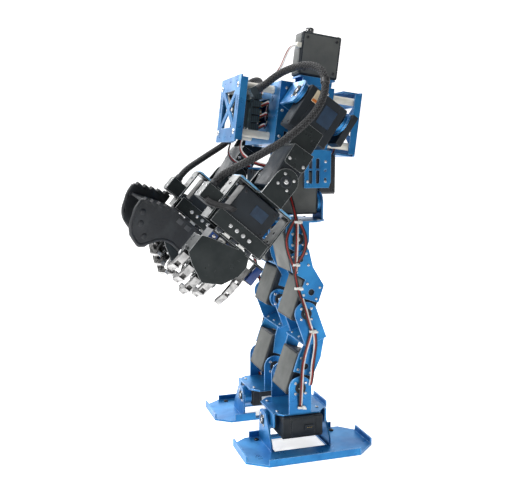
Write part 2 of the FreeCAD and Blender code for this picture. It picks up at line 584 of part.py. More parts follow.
def shoulder_bracket(side_name, side, frames):
    """U bracket on the shoulder pitch horn, open to the outside, holding the roll servo's ends."""
    base_in = dim.cage_half_wide + dim.servo_boss_rise + dim.horn_gap - dim.arm_x + dim.horn_thick
    base_at = side * (base_in + dim.sheet_thick / 2)
    shelf = box(f"shoulder_shelf_{side_name}", ("sheet_thick", "2 * bracket_half", "ear_wide"),
                (base_at, 0, 0))
    low, high = base_in, dim.ear_wide / 2
    outline = [(side * low, -high), (side * low, high), (side * high, high, high * 0.998),
               (side * high, -high, high * 0.998)]
    ears = [plate(f"shoulder_ear_{side_name}_{i}", outline, "Y", end * EAR_AT,
                  holes=[(0, 0, "screw_access_radius")]) for i, end in enumerate((1, -1))]
    horns = pair_of_horns(f"shoulder_roll_horn_{side_name}", "Y")
    drive_centre = (side * (dim.cage_half_wide - HALF_TALL - dim.arm_x), 0, 0)
    horns.append(horn(f"shoulder_pitch_horn_{side_name}", "X", side, drive_centre))
    node(f"shoulder_bracket_{side_name}", [fuse(f"shoulder_u_{side_name}", [shelf, *ears]), *horns],
         frames.shoulder)


def upper_arm(side_name, side, frames):
    node(f"shoulder_roll_servo_{side_name}",
         [servo(f"shoulder_roll_case_{side_name}", Placement(Vector(), SHAFT_ON_Y))], frames.shoulder)
    elbow = Vector(0, dim.elbow_back, -dim.elbow_drop)
    # the elbow servo stands on its pivot, long end up the arm
    node(f"elbow_servo_{side_name}",
         [servo(f"elbow_case_{side_name}", Placement(elbow, UPSIDE_DOWN))], frames.shoulder)
    reach = dim.servo_long - dim.servo_shaft_inset
    head_z = -dim.elbow_drop + reach + dim.sheet_thick / 2
    thick = dim.sheet_thick
    sheets = [box(f"elbow_cap_{side_name}", (2 * SIDE_PLATE_AT + thick, 20, thick),
                  (0, dim.elbow_back, head_z))]
    for i, end in enumerate((1, -1)):
        cheek = [(dim.elbow_back - 10, head_z), (dim.elbow_back + 10, head_z),
                 (dim.elbow_back + 10, head_z - 17, 3.0), (dim.elbow_back - 10, head_z - 17, 3.0)]
        sheets.append(plate(f"elbow_cheek_{side_name}_{i}", cheek, "X", end * SIDE_PLATE_AT))
        wing = [(-10, head_z), (12, head_z), (12, -20, 2.0), (-10, -20, 2.0)]
        sheets.append(plate(f"elbow_wing_{side_name}_{i}", wing, "X", end * (dim.servo_wide / 2 + thick / 2)))
    node(f"elbow_bracket_{side_name}", [fuse(f"elbow_sheet_{side_name}", sheets)], frames.shoulder)


def forearm(side_name, side, frames):
    """Ears about the elbow, two rails along the wrist servo, and a junction box on the front rail."""
    thick = dim.sheet_thick
    shelf_z = -dim.wrist_servo_start + 1.6
    front, back = -30.5, 29.5
    sheets = [box(f"forearm_shelf_{side_name}", (22, back - front, thick), (0, (front + back) / 2, shelf_z)),
              box(f"forearm_wide_shelf_{side_name}", ("2 * bracket_half", "ear_wide", thick),
                  (0, 0, shelf_z))]
    for i, end in enumerate((1, -1)):
        sheets.append(plate(f"forearm_ear_{side_name}_{i}", tongue(0, 0, shelf_z, dim.ear_wide), "X",
                            end * EAR_AT, holes=[(0, 0, "screw_access_radius")]))
        at = front + thick / 2 if end > 0 else back - thick / 2
        rail = rectangle(-11, 11, -dim.strip_end, shelf_z)
        sheets.append(plate(f"forearm_rail_{side_name}_{i}", rail, "Y", at,
                            holes=[(0, z, 1.6) for z in (-54, -45, -36)]))
    horns = pair_of_horns(f"elbow_horn_{side_name}", "X")
    junction = box(f"junction_box_{side_name}", (18, 16, 14), (0, front - 8, -46))
    node(f"forearm_bracket_{side_name}", [fuse(f"forearm_sheet_{side_name}", sheets), *horns, junction],
         frames.elbow)
    servo_top, tall = -dim.wrist_servo_start, dim.wrist_servo_tall
    case = box(f"wrist_block_{side_name}", (20, 40, tall), (0, -1, servo_top - tall / 2))
    flanges = box(f"wrist_flanges_{side_name}", (20, 56, 3), (0, -0.5, servo_top - tall + 9))
    bevelled = doc.addObject("Part::Chamfer", f"wrist_bevelled_{side_name}")
    bevelled.Base = case
    bevelled.Edges = [(edge, dim.servo_edge_bevel, dim.servo_edge_bevel) for edge in range(1, 13)]
    bore = rod(f"wrist_bore_{side_name}", "bore_radius", "bore_deep + 1",
               (0, 0, servo_top - tall + dim.bore_deep / 2 - 0.5))
    whole_case = fuse(f"wrist_full_{side_name}", [bevelled, flanges])
    node(f"wrist_servo_{side_name}", [cut(f"wrist_case_{side_name}", whole_case, [bore])], frames.elbow)
    strips = []
    middle = -(dim.strip_start + dim.strip_end) / 2
    for i, end in enumerate((1, -1)):
        outline = rectangle(-dim.strip_wide / 2, dim.strip_wide / 2, -dim.strip_end, -dim.strip_start)
        strips.append(plate(f"strip_{side_name}_{i}", outline, "X", end * (11 + thick / 2),
                            holes=[(y, middle, 1.2) for y in (-10.5, -3.5, 3.5, 10.5)]))
    node(f"wrist_bracket_{side_name}", strips, frames.elbow)


# knuckle (y, z) in the palm's frame, link lengths, and each link's turn from the palm's line
DIGITS = {
    "finger_1": ((-22.5, -34.5), (11.0, 10.0, 8.0), (22, 66, 108)),
    "finger_2": ((-12.0, -40.0), (11.0, 10.0, 8.0), (22, 66, 108)),
    "finger_3": ((-1.5, -44.5), (11.0, 10.0, 8.0), (22, 66, 108)),
    "finger_4": ((9.5, -39.5), (11.0, 10.0, 8.0), (22, 66, 108)),
    "thumb": ((27.5, -13.0), (16.0, 12.0, 9.0), (-8, 10, 35)),
}


def hand(side_name, side, frames):
    """Palm of two shaped plates about five small servos, four fingers and a thumb.

    The palm faces the robot's middle, so -side is the palm's side. The four fingers leave the
    plates' lower edge, and the thumb's root is at the back edge.
    """
    thick = dim.palm_thick
    base_z = -2.4
    outline = [(-25, -13, 2.0), (-25, -31, 2.0), (-16, -37, 2.0), (0, -44, 3.0), (15, -35, 2.0),
               (22, -21, 2.0), (23, -11, 2.0), (19, base_z - 0.8), (8, base_z - 0.8), (-16, -9.6)]
    sheets = [plate(f"palm_face_{side_name}_{i}", outline, "X", end * (dim.palm_gap + thick / 2),
                    "palm_thick")
              for i, end in enumerate((1, -1))]
    sheets.append(box(f"palm_base_{side_name}", (2 * dim.palm_gap + 2 * thick, 30, 1.6), (0, 0, base_z)))
    sheets.append(box(f"palm_front_edge_{side_name}", (2 * dim.palm_gap, 1.4, 16), (0, -24.3, -22)))
    sheets.append(box(f"thumb_arm_{side_name}", (10, 28, 1.6), (0, 25, base_z)))
    shelf_z = -26.8
    sheets.append(box(f"knuckle_shelf_{side_name}", (2 * dim.palm_gap, 41, 1.6), (0, -2.5, shelf_z)))
    for name, ((root_y, root_z), lengths, bends) in DIGITS.items():
        hung_from = base_z if name == "thumb" else shelf_z
        for i, end in enumerate((1, -1)):
            lug = [(-2.6, hung_from), (2.6, hung_from), (2.6, root_z - 2.6, 2.4), (-2.6, root_z - 2.6, 2.4)]
            sheets.append(plate(f"{name}_lug_{side_name}_{i}", lug, "Y", root_y + end * 4.3, 0.9,
                                holes=[(0, root_z, "pin_radius + 0.05")]))
    drive = [rod(f"wrist_hub_{side_name}", 5.0, 3.6, (0, 0, base_z + 0.8 + 1.8)),
             rod(f"wrist_stub_{side_name}", "stub_radius", "stub_long + 6", (0, 0, base_z + 6.6))]
    node(f"palm_plates_{side_name}", [fuse(f"palm_sheet_{side_name}", sheets + drive)], frames.wrist)
    micro = [box(f"micro_servo_{side_name}_{i}", (21.6, "micro_servo_wide", 22),
                 (0, -16 + i * (dim.micro_servo_wide + 0.8), base_z - 0.9 - 11)) for i in range(5)]
    micro.append(box(f"thumb_servo_{side_name}", (11, 6.4, 17), (0, 35.6, base_z - 0.8 - 8.5)))
    node(f"finger_servos_{side_name}", micro, frames.wrist)

    for name, (root, lengths, bends) in DIGITS.items():
        node(f"{name}_{side_name}", finger_links(f"{name}_{side_name}", side, root, lengths, bends),
             frames.wrist)


def finger_links(name, side, root, lengths, bends):
    """Links of a curled finger from its knuckle pin, each turned further towards the palm."""
    pieces = []
    x, z = 0.0, root[1]
    for count, (length, bend) in enumerate(zip(lengths, bends)):
        turn = Rotation(Vector(0, 1, 0), side * bend)
        width = dim.finger_wide - count * 0.6
        half, radius = dim.finger_thick / 2 - count * 0.3, dim.finger_thick / 2 * 0.9
        tip = -length - (0.0 if count < 2 else 1.5)
        outline = [(-half, half), (half, half), (half, tip, 1.0), (-half, tip, 1.0)]
        link = plate(f"{name}_link_{count}", outline, "Y", 0, width)
        notch = box(f"{name}_notch_{count}", (dim.finger_thick + 2, width - 2.4, 5.2), (0, 0, -length + 1.8))
        body = cut(f"{name}_forked_{count}", link, [notch]) if count < 2 else link
        pieces.append(moved(f"{name}_part_{count}", body, Placement(Vector(x, root[0], z), turn)))
        pin_long = width + (3.0 if count == 0 else 1.2)
        pieces.append(rod(f"{name}_pin_{count}", "pin_radius", pin_long, (x, root[0], z), "Y"))
        x -= side * length * sin(radians(bend))
        z -= length * cos(radians(bend))
    return [fuse(name + "_links", pieces)]


def hand_guard(frames):
    """Rubber shell carried by the right hand: two cheeks about the palm and a floor between them."""
    offset = dim.guard_gap + dim.guard_thick / 2
    top_front, slope, inner_end = (-73.8, -15.1), 0.364, -32.5

    def cheek(rise):
        """Cheek outline in the hand's frame; `rise` moves it towards the forearm."""
        top_back = top_front[1] + slope * (inner_end - top_front[0])
        lobes = [(*top_front, 2.0), (-73.4, -24.0, 3.0), (-69.4, -29.0, 2.0), (-69.0, -37.0, 4.0),
                 (-62.6, -42.0, 2.0), (-59.0, -50.5, 4.0), (-50.5, -51.0, 2.0), (-45.0, -55.0, 4.0)]
        under = [(-38.0, -50.0, 2.0), (-33.5, -36.5, 12.0), (-16.0, -27.5, 14.0), (9.0, -33.0, 2.0)]
        moved_up = [(y, z + rise, radius) for y, z, radius in lobes + under]
        return moved_up + [(12.0, -2.6, 3.0), (inner_end, -2.6), (inner_end, top_back + rise, 2.0)]

    pieces = []
    for i, (end, rise) in enumerate(((1, 0.0), (-1, 9.0))):
        pieces.append(plate(f"guard_cheek_{i}", cheek(rise), "X", end * offset, "guard_thick"))
        for count in range(5):
            y = top_front[0] + 5 + count * 7.6
            z = top_front[1] + slope * (y - top_front[0]) + rise
            pieces.append(box(f"guard_lug_{count}_{i}", (dim.guard_thick + 2.6, 4.6, 3.6),
                              (end * offset, y, z)))
    floor = [(-69.5, -14.5), (-34.5, -1.5), (-34.5, -4.1), (-69.5, -17.1)]
    pieces.append(plate("guard_floor", floor, "X", 0, 2 * offset))
    node("hand_guard_right", [fuse("guard", pieces)], frames.wrist)


# ---------------------------------------------------------------- cable sleeves

SLEEVE_ROUTE = [(40.5, -30, 339.5), (47, -22, 346), (57.5, -12, 350.5), (70, -3, 351), (82, 2, 346),
                (90, 3, 336), (94, 0, 323), (95.5, -9, 308), (95.5, -23, 295), (94.5, -38, 284),
                (91.5, -52, 276), (87, -64, 269), (81, -76, 262.5)]


def cable_sleeve(side_name, side, elbow_frame):
    """Braided sleeve from the control board over the shoulder to the junction box."""
    start, second = (CHEST.multVec(gland_middle(side) + SLEEVE_LEAVES * (dim.gland_deep / 2 + ahead))
                     for ahead in (0, 6))
    junction_top = [elbow_frame.multVec(Vector(0, -41.0, z)) for z in (-28.0, -39.0)]
    points = [start, second, *(Vector(side * x, y, z) for x, y, z in SLEEVE_ROUTE), *junction_top]
    edges, cursor, smallest = [], points[0], 1e9
    for before, corner, after in zip(points, points[1:], points[2:]):
        back, ahead = (before - corner), (after - corner)
        reach = 0.45 * min(back.Length, ahead.Length)
        angle = acos(max(-1.0, min(1.0, back.normalize().dot(ahead.normalize()))))
        radius = reach * tan(angle / 2)
        smallest = min(smallest, radius)
        bisector = (back + ahead).normalize()
        middle = corner + bisector * (sqrt(radius ** 2 + reach ** 2) - radius)
        start, finish = corner + back * reach, corner + ahead * reach
        edges.append(Part.LineSegment(cursor, start).toShape())
        edges.append(Part.Arc(start, middle, finish).toShape())
        cursor = finish
    edges.append(Part.LineSegment(cursor, points[-1]).toShape())
    path = Part.Wire(edges)
    direction = points[1] - points[0]
    ring = Part.Wire(Part.makeCircle(dim.sleeve_radius, points[0], direction))
    shape = path.makePipeShell([ring], True, False, 0)
    sleeve = doc.addObject("Part::Feature", f"sleeve_{side_name}")
    sleeve.Shape = shape
    expected = 3.14159265 * dim.sleeve_radius ** 2 * path.Length
    print(f"sleeve {side_name}: length {path.Length:.1f} mm, smallest radius {smallest:.1f} mm, "
          f"volume {shape.Volume:.0f} of {expected:.0f} mm3")
    node(f"cable_sleeve_{side_name}", [sleeve], WORLD)


# ---------------------------------------------------------------- the whole robot

def joint_line(name, frame, axis, spot=Vector()):
    """Prints a joint's point and direction in the robot's frame, for the record of its motion."""
    spot, turned = frame.multVec(spot), frame.Rotation.multVec(axis)
    print(f"joint {name} {spot.x:.5f} {spot.y + shift:.5f} {spot.z:.5f} "
          f"{turned.x:.6f} {turned.y:.6f} {turned.z:.6f}")


chest_plate("chest_front_plate", -dim.chest_half_deep, 1, dim.chest_flange)
chest_plate("chest_back_plate", dim.chest_half_deep, -1, dim.back_flange)
torso_frame()
pelvis_frame()
nylon_standoffs()
control_board()
battery_pack()
trunk_servos()
head_shaft_y = head()
for side_name, side in SIDES:
    leg = leg_frames(side)
    hip_bracket(side_name, side, leg)
    thigh(side_name, side, leg)
    shin(side_name, side, leg)
    ankle(side_name, side, leg)
    foot(side_name, side, leg)
    arm = arm_frames(side)
    shoulder_bracket(side_name, side, arm)
    upper_arm(side_name, side, arm)
    forearm(side_name, side, arm)
    hand(side_name, side, arm)
    cable_sleeve(side_name, side, arm.elbow)
hand_guard(arm_frames(-1))
doc.recompute()

# The origin is under the middle of the whole robot's box, on the floor.
whole = FreeCAD.BoundBox()
for part in nodes:
    whole.add(part.Shape.BoundBox)
shift = -whole.Center.y
for part in nodes:
    part.Placement = Placement(Vector(0, shift, 0), Rotation()).multiply(part.Placement)
doc.recompute()

for thing in doc.Objects:
    if "Invalid" in thing.State or "Error" in thing.State:
        raise RuntimeError(f"{thing.Name} failed: {thing.State}")
os.makedirs("parts", exist_ok=True)
for part in nodes:
    shape = part.Shape
    if shape.isNull() or not shape.isValid() or not shape.Solids:
        raise RuntimeError(f"{part.Label} has no valid shape")
    shape.exportStep(f"parts/{part.Label}.step")
print(f"{len(nodes)} nodes, box {whole.XLength:.1f} x {whole.YLength:.1f} x {whole.ZLength:.1f} mm, "
      f"shift {shift:.4f}")

joint_line("head_pan", CHEST.multiply(Placement(Vector(0, head_shaft_y, 0), Rotation())), Vector(0, 0, 1))
for side_name, side in SIDES:
    leg, arm = leg_frames(side), arm_frames(side)
    joint_line(f"hip_roll_{side_name}", leg.hip_roll, Vector(0, 1, 0))
    joint_line(f"hip_pitch_{side_name}", leg.hip_pitch, Vector(1, 0, 0))
    joint_line(f"knee_{side_name}", leg.knee, Vector(1, 0, 0))
    joint_line(f"ankle_pitch_{side_name}", leg.ankle, Vector(1, 0, 0))
    joint_line(f"ankle_roll_{side_name}", leg.sole, Vector(0, 1, 0))
    joint_line(f"shoulder_pitch_{side_name}", arm.shoulder, Vector(1, 0, 0))
    joint_line(f"shoulder_roll_{side_name}", arm.shoulder, Vector(0, 1, 0))
    joint_line(f"elbow_{side_name}", arm.elbow, Vector(1, 0, 0))
    joint_line(f"wrist_{side_name}", arm.wrist, Vector(0, 0, 1))
    for name, (root, lengths, bends) in DIGITS.items():
        joint_line(f"{name}_{side_name}", arm.wrist, Vector(0, 1, 0), Vector(0, *root))
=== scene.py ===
import json
from math import cos, pi, radians, sin

import bmesh
import bpy
from mathutils import Matrix, Vector


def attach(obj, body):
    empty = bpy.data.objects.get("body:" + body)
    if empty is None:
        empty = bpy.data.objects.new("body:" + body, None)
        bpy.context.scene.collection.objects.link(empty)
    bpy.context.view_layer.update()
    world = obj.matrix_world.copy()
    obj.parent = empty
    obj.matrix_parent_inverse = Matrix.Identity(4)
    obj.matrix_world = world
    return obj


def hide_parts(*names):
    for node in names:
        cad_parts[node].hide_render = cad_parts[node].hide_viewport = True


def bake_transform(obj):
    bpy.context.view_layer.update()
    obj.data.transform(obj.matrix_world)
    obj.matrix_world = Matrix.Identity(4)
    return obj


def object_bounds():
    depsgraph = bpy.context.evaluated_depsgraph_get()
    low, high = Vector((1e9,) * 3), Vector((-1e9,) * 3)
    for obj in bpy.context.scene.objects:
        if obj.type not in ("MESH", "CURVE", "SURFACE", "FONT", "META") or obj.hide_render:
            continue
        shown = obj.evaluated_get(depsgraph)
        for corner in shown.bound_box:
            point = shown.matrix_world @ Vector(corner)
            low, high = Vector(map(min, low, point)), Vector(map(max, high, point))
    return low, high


# Looks of the humanoid robot kit: anodised sheet metal, servo cases, fasteners, leads and sleeves.
# The robot faces -Y, its left side is +X, and +Z is up. Lengths are in millimetres until
# `finish_mesh` scales them to metres. Materials, the stage, the lights and the camera are in metres.

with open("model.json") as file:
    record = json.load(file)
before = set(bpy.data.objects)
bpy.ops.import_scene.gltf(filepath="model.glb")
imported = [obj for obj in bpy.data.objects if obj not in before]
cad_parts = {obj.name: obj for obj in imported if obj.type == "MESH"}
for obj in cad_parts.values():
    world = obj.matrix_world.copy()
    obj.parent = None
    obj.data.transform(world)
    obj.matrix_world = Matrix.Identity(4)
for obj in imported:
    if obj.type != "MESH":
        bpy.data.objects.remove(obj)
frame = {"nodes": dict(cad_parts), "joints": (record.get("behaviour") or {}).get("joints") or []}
cad_low, cad_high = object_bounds()
MM = 0.001
SIDES = (("left", 1), ("right", -1))


# ---------------------------------------------------------------- frames, as in the CAD source

JOINTS = {joint["name"]: joint for joint in frame["joints"]}
# the measures here repeat the CAD source's, for the frames and for the faces that details sit on
HIP_ROLL_Y = -5.0
SHIFT = JOINTS["hip_roll_left"]["pos_m"][1] / MM - HIP_ROLL_Y
TRUNK_LEAN, UPPER_ARM_LEAN, FOREARM_LEAN = 6.8, 34.0, 40.0
HIP_SERVO_LEAN, KNEE_SERVO_LEAN, KNEE_BRACKET_LEAN = 12.6, 18.5, 20.5
ELBOW_BACK, ELBOW_DROP, WRIST_DROP, RIGHT_HAND_ROLL = 1.5, 74.0, 64.0, 20.0
HALF_TALL, HALF_WIDE, SHAFT_INSET, SERVO_LONG = 20.0, 10.0, 10.0, 40.0
EAR_OUTSIDE, FOOT_EAR_OUTSIDE = 25.5, 29.0
SHEET, PALM_SHEET = 1.6, 1.5
CHEST_SPOT = (0, 2.0, 309.0)
CAGE_HALF_WIDE, SIDE_PLATE_X = 43, 48.4
HEADER_X = 19.5
SHOULDER_X, SHOULDER_SERVO_X = 74, 23
HIP_SHELF_Z, SHIN_SHELF_Z, ANKLE_SHELF_Z = -14.7, -27.2, -24.0
SOLE_MIDDLE_X, SOLE_HOLE_X, SOLE_HOLE_Y = 56, 25, 39
PALM_PLATE_X, GUARD_RIM_X, GUARD_CHEEK_X = 12.4, 16.6, 17.4
THUMB_SERVO_Y = 35.6


def turn(axis, degrees):
    return Matrix.Rotation(radians(degrees), 4, axis)


def at(x, y, z):
    return Matrix.Translation((x, y, z))


def joint_spot(name):
    x, y, z = JOINTS[name]["pos_m"]
    return at(x / MM, y / MM - SHIFT, z / MM)


CHEST = at(*CHEST_SPOT) @ turn("X", -TRUNK_LEAN)


def leg_frames(side_name):
    return {name: joint_spot(f"{name}_{side_name}")
            for name in ("hip_roll", "hip_pitch", "knee", "ankle_pitch", "ankle_roll")}


def arm_frames(side_name):
    shoulder = joint_spot(f"shoulder_pitch_{side_name}") @ turn("X", -UPPER_ARM_LEAN)
    elbow = joint_spot(f"elbow_{side_name}") @ turn("X", -FOREARM_LEAN)
    roll = RIGHT_HAND_ROLL if side_name == "right" else 0.0
    return {"shoulder": shoulder, "elbow": elbow, "wrist": elbow @ at(0, 0, -WRIST_DROP) @ turn("Z", roll)}


# ---------------------------------------------------------------- materials

class Nodes:
    """Short names for the shader nodes that the materials use."""

    def __init__(self, name):
        self.material = bpy.data.materials.new(name)
        self.material.use_nodes = True
        self.tree = self.material.node_tree
        self.shader = next(n for n in self.tree.nodes if n.type == "BSDF_PRINCIPLED")
        self.coords = self.new("ShaderNodeTexCoord").outputs["Object"]

    def new(self, kind, **settings):
        made = self.tree.nodes.new(kind)
        for key, amount in settings.items():
            setattr(made, key, amount)
        return made

    def link(self, source, target):
        self.tree.links.new(source, target)

    def noise(self, scale, detail=4.0, stretch=(1, 1, 1), rough=0.55):
        mapping = self.new("ShaderNodeMapping")
        mapping.inputs["Scale"].default_value = stretch
        self.link(self.coords, mapping.inputs["Vector"])
        made = self.new("ShaderNodeTexNoise")
        made.inputs["Scale"].default_value = scale
        made.inputs["Detail"].default_value = detail
        made.inputs["Roughness"].default_value = rough
        self.link(mapping.outputs["Vector"], made.inputs["Vector"])
        return made.outputs["Fac"]

    def ramp(self, source, low, high, from_low=0.35, from_high=0.65):
        made = self.new("ShaderNodeMapRange")
        limits = {"From Min": from_low, "From Max": from_high, "To Min": low, "To Max": high}
        for key, amount in limits.items():
            made.inputs[key].default_value = amount
        self.link(source, made.inputs["Value"])
        return made.outputs["Result"]

    def mix(self, factor, first, second):
        made = self.new("ShaderNodeMix", data_type="RGBA")
        self.link(factor, made.inputs["Factor"])
        for socket, value in ((made.inputs[6], first), (made.inputs[7], second)):
            if isinstance(value, bpy.types.NodeSocket):
                self.link(value, socket)
            else:
                socket.default_value = (*value, 1)
        return made.outputs[2]

    def math(self, operation, first, second):
        made = self.new("ShaderNodeMath", operation=operation)
        for socket, value in zip(made.inputs, (first, second)):
            if isinstance(value, bpy.types.NodeSocket):
                self.link(value, socket)
            else:
                socket.default_value = value
        return made.outputs[0]

    def edge_mask(self, radius, low=0.02, high=0.12):
        """About 1 along sharp edges: where the rounded normal leaves the true one."""
        bevel = self.new("ShaderNodeBevel", samples=6)
        bevel.inputs["Radius"].default_value = radius
        geometry = self.new("ShaderNodeNewGeometry")
        dot = self.new("ShaderNodeVectorMath", operation="DOT_PRODUCT")
        self.link(bevel.outputs["Normal"], dot.inputs[0])
        self.link(geometry.outputs["Normal"], dot.inputs[1])
        return self.ramp(dot.outputs["Value"], 1.0, 0.0, 1 - high, 1 - low)

    def bump(self, height, strength, distance, rounding=0.0):
        made = self.new("ShaderNodeBump")
        made.inputs["Strength"].default_value = strength
        made.inputs["Distance"].default_value = distance
        self.link(height, made.inputs["Height"])
        if rounding:
            bevel = self.new("ShaderNodeBevel", samples=4)
            bevel.inputs["Radius"].default_value = rounding
            self.link(bevel.outputs["Normal"], made.inputs["Normal"])
        self.link(made.outputs["Normal"], self.shader.inputs["Normal"])

    def set(self, **values):
        for key, value in values.items():
            socket = self.shader.inputs[key.replace("_", " ").title().replace("Ior", "IOR")]
            if isinstance(value, bpy.types.NodeSocket):
                self.link(value, socket)
            else:
                socket.default_value = (*value, 1) if isinstance(value, tuple) else value
        return self.material


def sheet_metal(name, dark, light, edge, metallic, wear_and_highlight_level):
    """Anodised sheet: slightly uneven dye, a fine rolled grain, and a paler colour along the cut edges,
    partly bare-metal wear and partly a painted edge highlight.
    """
    m = Nodes(name)
    grain = m.noise(900, 3, (1, 1, 0.06))
    clouds = m.noise(38, 5)
    colour = m.mix(m.ramp(clouds, 0, 1), dark, light)
    scuffs = m.ramp(m.noise(260, 6, (0.3, 1, 1)), 0, 0.35, 0.66, 0.8)
    # the edge colour paints every sharp edge paler: bare-metal wear and a painted edge highlight
    wear_and_highlight = m.math("MULTIPLY", m.edge_mask(0.0007), m.ramp(m.noise(120, 4), wear_and_highlight_level * 0.5, wear_and_highlight_level))
    wear_and_highlight = m.math("MAXIMUM", wear_and_highlight, m.math("MULTIPLY", scuffs, 0.4))
    m.bump(grain, 0.12, 0.00012, 0.0004)
    return m.set(base_color=m.mix(wear_and_highlight, colour, edge), metallic=metallic,
                 roughness=m.ramp(m.noise(70, 5), 0.27, 0.42))


def moulded(name, dark, light, rough=(0.42, 0.6), grain=1900, depth=0.25, specular=0.5,
            rim=(0.12, 0.13, 0.14)):
    """Moulded plastic: a fine spark-eroded grain, and paler edges, partly rubbed wear and partly a painted
    edge highlight.
    """
    m = Nodes(name)
    colour = m.mix(m.ramp(m.noise(46, 5), 0, 1), dark, light)
    # the rim colour paints the edges paler: rubbing wear and a painted edge highlight
    rubbed_edges_and_highlight = m.math("MULTIPLY", m.edge_mask(0.0006), 0.45)
    m.bump(m.noise(grain, 2), depth, 0.00012, 0.0005)
    m.shader.inputs["Specular IOR Level"].default_value = specular
    return m.set(base_color=m.mix(rubbed_edges_and_highlight, colour, rim), roughness=m.ramp(m.noise(60, 4), *rough))


def bare_metal(name, dark, light, rough=(0.18, 0.36)):
    m = Nodes(name)
    colour = m.mix(m.ramp(m.noise(160, 4), 0, 1), dark, light)
    m.bump(m.noise(1500, 3, (0.08, 1, 1)), 0.15, 0.0001, 0.0003)
    return m.set(base_color=colour, metallic=1.0, roughness=m.ramp(m.noise(120, 4), *rough))


def shrink_wrap():
    """Heat-shrunk film over the cells: glossy, with small creases."""
    m = Nodes("battery_wrap")
    creases = m.noise(95, 6, (1, 1, 0.25), 0.7)
    m.bump(creases, 0.6, 0.0007, 0.0015)
    m.shader.inputs["Coat Weight"].default_value = 0.4
    m.shader.inputs["Coat Roughness"].default_value = 0.15
    # painted shade: the film is darker in the creases' hollows and lighter on their ridges
    return m.set(base_color=m.mix(m.ramp(creases, 0, 1), (0.008, 0.009, 0.012), (0.03, 0.032, 0.04)),
                 roughness=m.ramp(creases, 0.22, 0.4))


def circuit():
    """Dark solder mask; a fine brick pattern stands for the copper runs under it."""
    m = Nodes("circuit_board")
    tracks = m.new("ShaderNodeTexBrick")
    tracks.inputs["Scale"].default_value = 260
    tracks.inputs["Mortar Size"].default_value = 0.05
    m.link(m.coords, tracks.inputs["Vector"])
    colour = m.mix(tracks.outputs["Fac"], (0.012, 0.016, 0.022), (0.03, 0.055, 0.06))
    m.bump(m.noise(700, 3), 0.3, 0.0002, 0.0003)
    return m.set(base_color=colour, roughness=m.ramp(m.noise(90, 3), 0.3, 0.5))


STRANDS = 7


def braid():
    """Two families of strands crossing round the sleeve, with painted shade in the gaps between strands, and
    pale flecks of the tracer yarn brightened on the crests as a painted glint.
    """
    m = Nodes("braided_sleeve")
    split = m.new("ShaderNodeSeparateXYZ")
    uv = m.new("ShaderNodeUVMap", uv_map="round_and_along")
    m.link(uv.outputs["UV"], split.inputs[0])
    around, along = (m.math("MULTIPLY", split.outputs[i], 2 * pi * STRANDS) for i in (0, 1))
    one = m.math("SINE", m.math("ADD", around, along), 0)
    two = m.math("SINE", m.math("SUBTRACT", around, along), 0)
    weave = m.math("MAXIMUM", one, two)
    fleck_and_glint = m.ramp(m.noise(1300, 2), 0, 1, 0.6, 0.66)
    # painted shade: the gaps between the strands are darker, their crests lighter
    body = m.mix(m.ramp(weave, 0, 1, -0.4, 1), (0.003, 0.003, 0.004), (0.014, 0.015, 0.017))
    m.bump(weave, 0.7, 0.0005)
    m.shader.inputs["Sheen Weight"].default_value = 0.08
    m.shader.inputs["Specular IOR Level"].default_value = 0.35
    # the flecks: tracer yarn, made brightest on the strand crests as a painted glint
    colour = m.mix(m.math("MULTIPLY", fleck_and_glint, m.ramp(weave, 0, 0.75, 0.2, 0.9)), body, (0.15, 0.155, 0.16))
    return m.set(base_color=colour, roughness=m.ramp(weave, 0.7, 0.42, -0.5, 1))


def rubber():
    m = Nodes("guard_rubber")
    skin = m.noise(420, 6, rough=0.7)
    m.bump(skin, 0.35, 0.0004, 0.0012)
    dust = m.ramp(m.noise(55, 6), 0, 1, 0.45, 0.75)
    return m.set(base_color=m.mix(dust, (0.010, 0.012, 0.015), (0.028, 0.031, 0.036)),
                 roughness=m.ramp(skin, 0.38, 0.62))


def vinyl(name, dark, light, rough=(0.3, 0.45)):
    """Wire insulation, ties, stickers and sockets."""
    m = Nodes(name)
    m.bump(m.noise(900, 2), 0.2, 0.0001)
    return m.set(base_color=m.mix(m.ramp(m.noise(130, 3), 0, 1), dark, light),
                 roughness=m.ramp(m.noise(90), *rough))


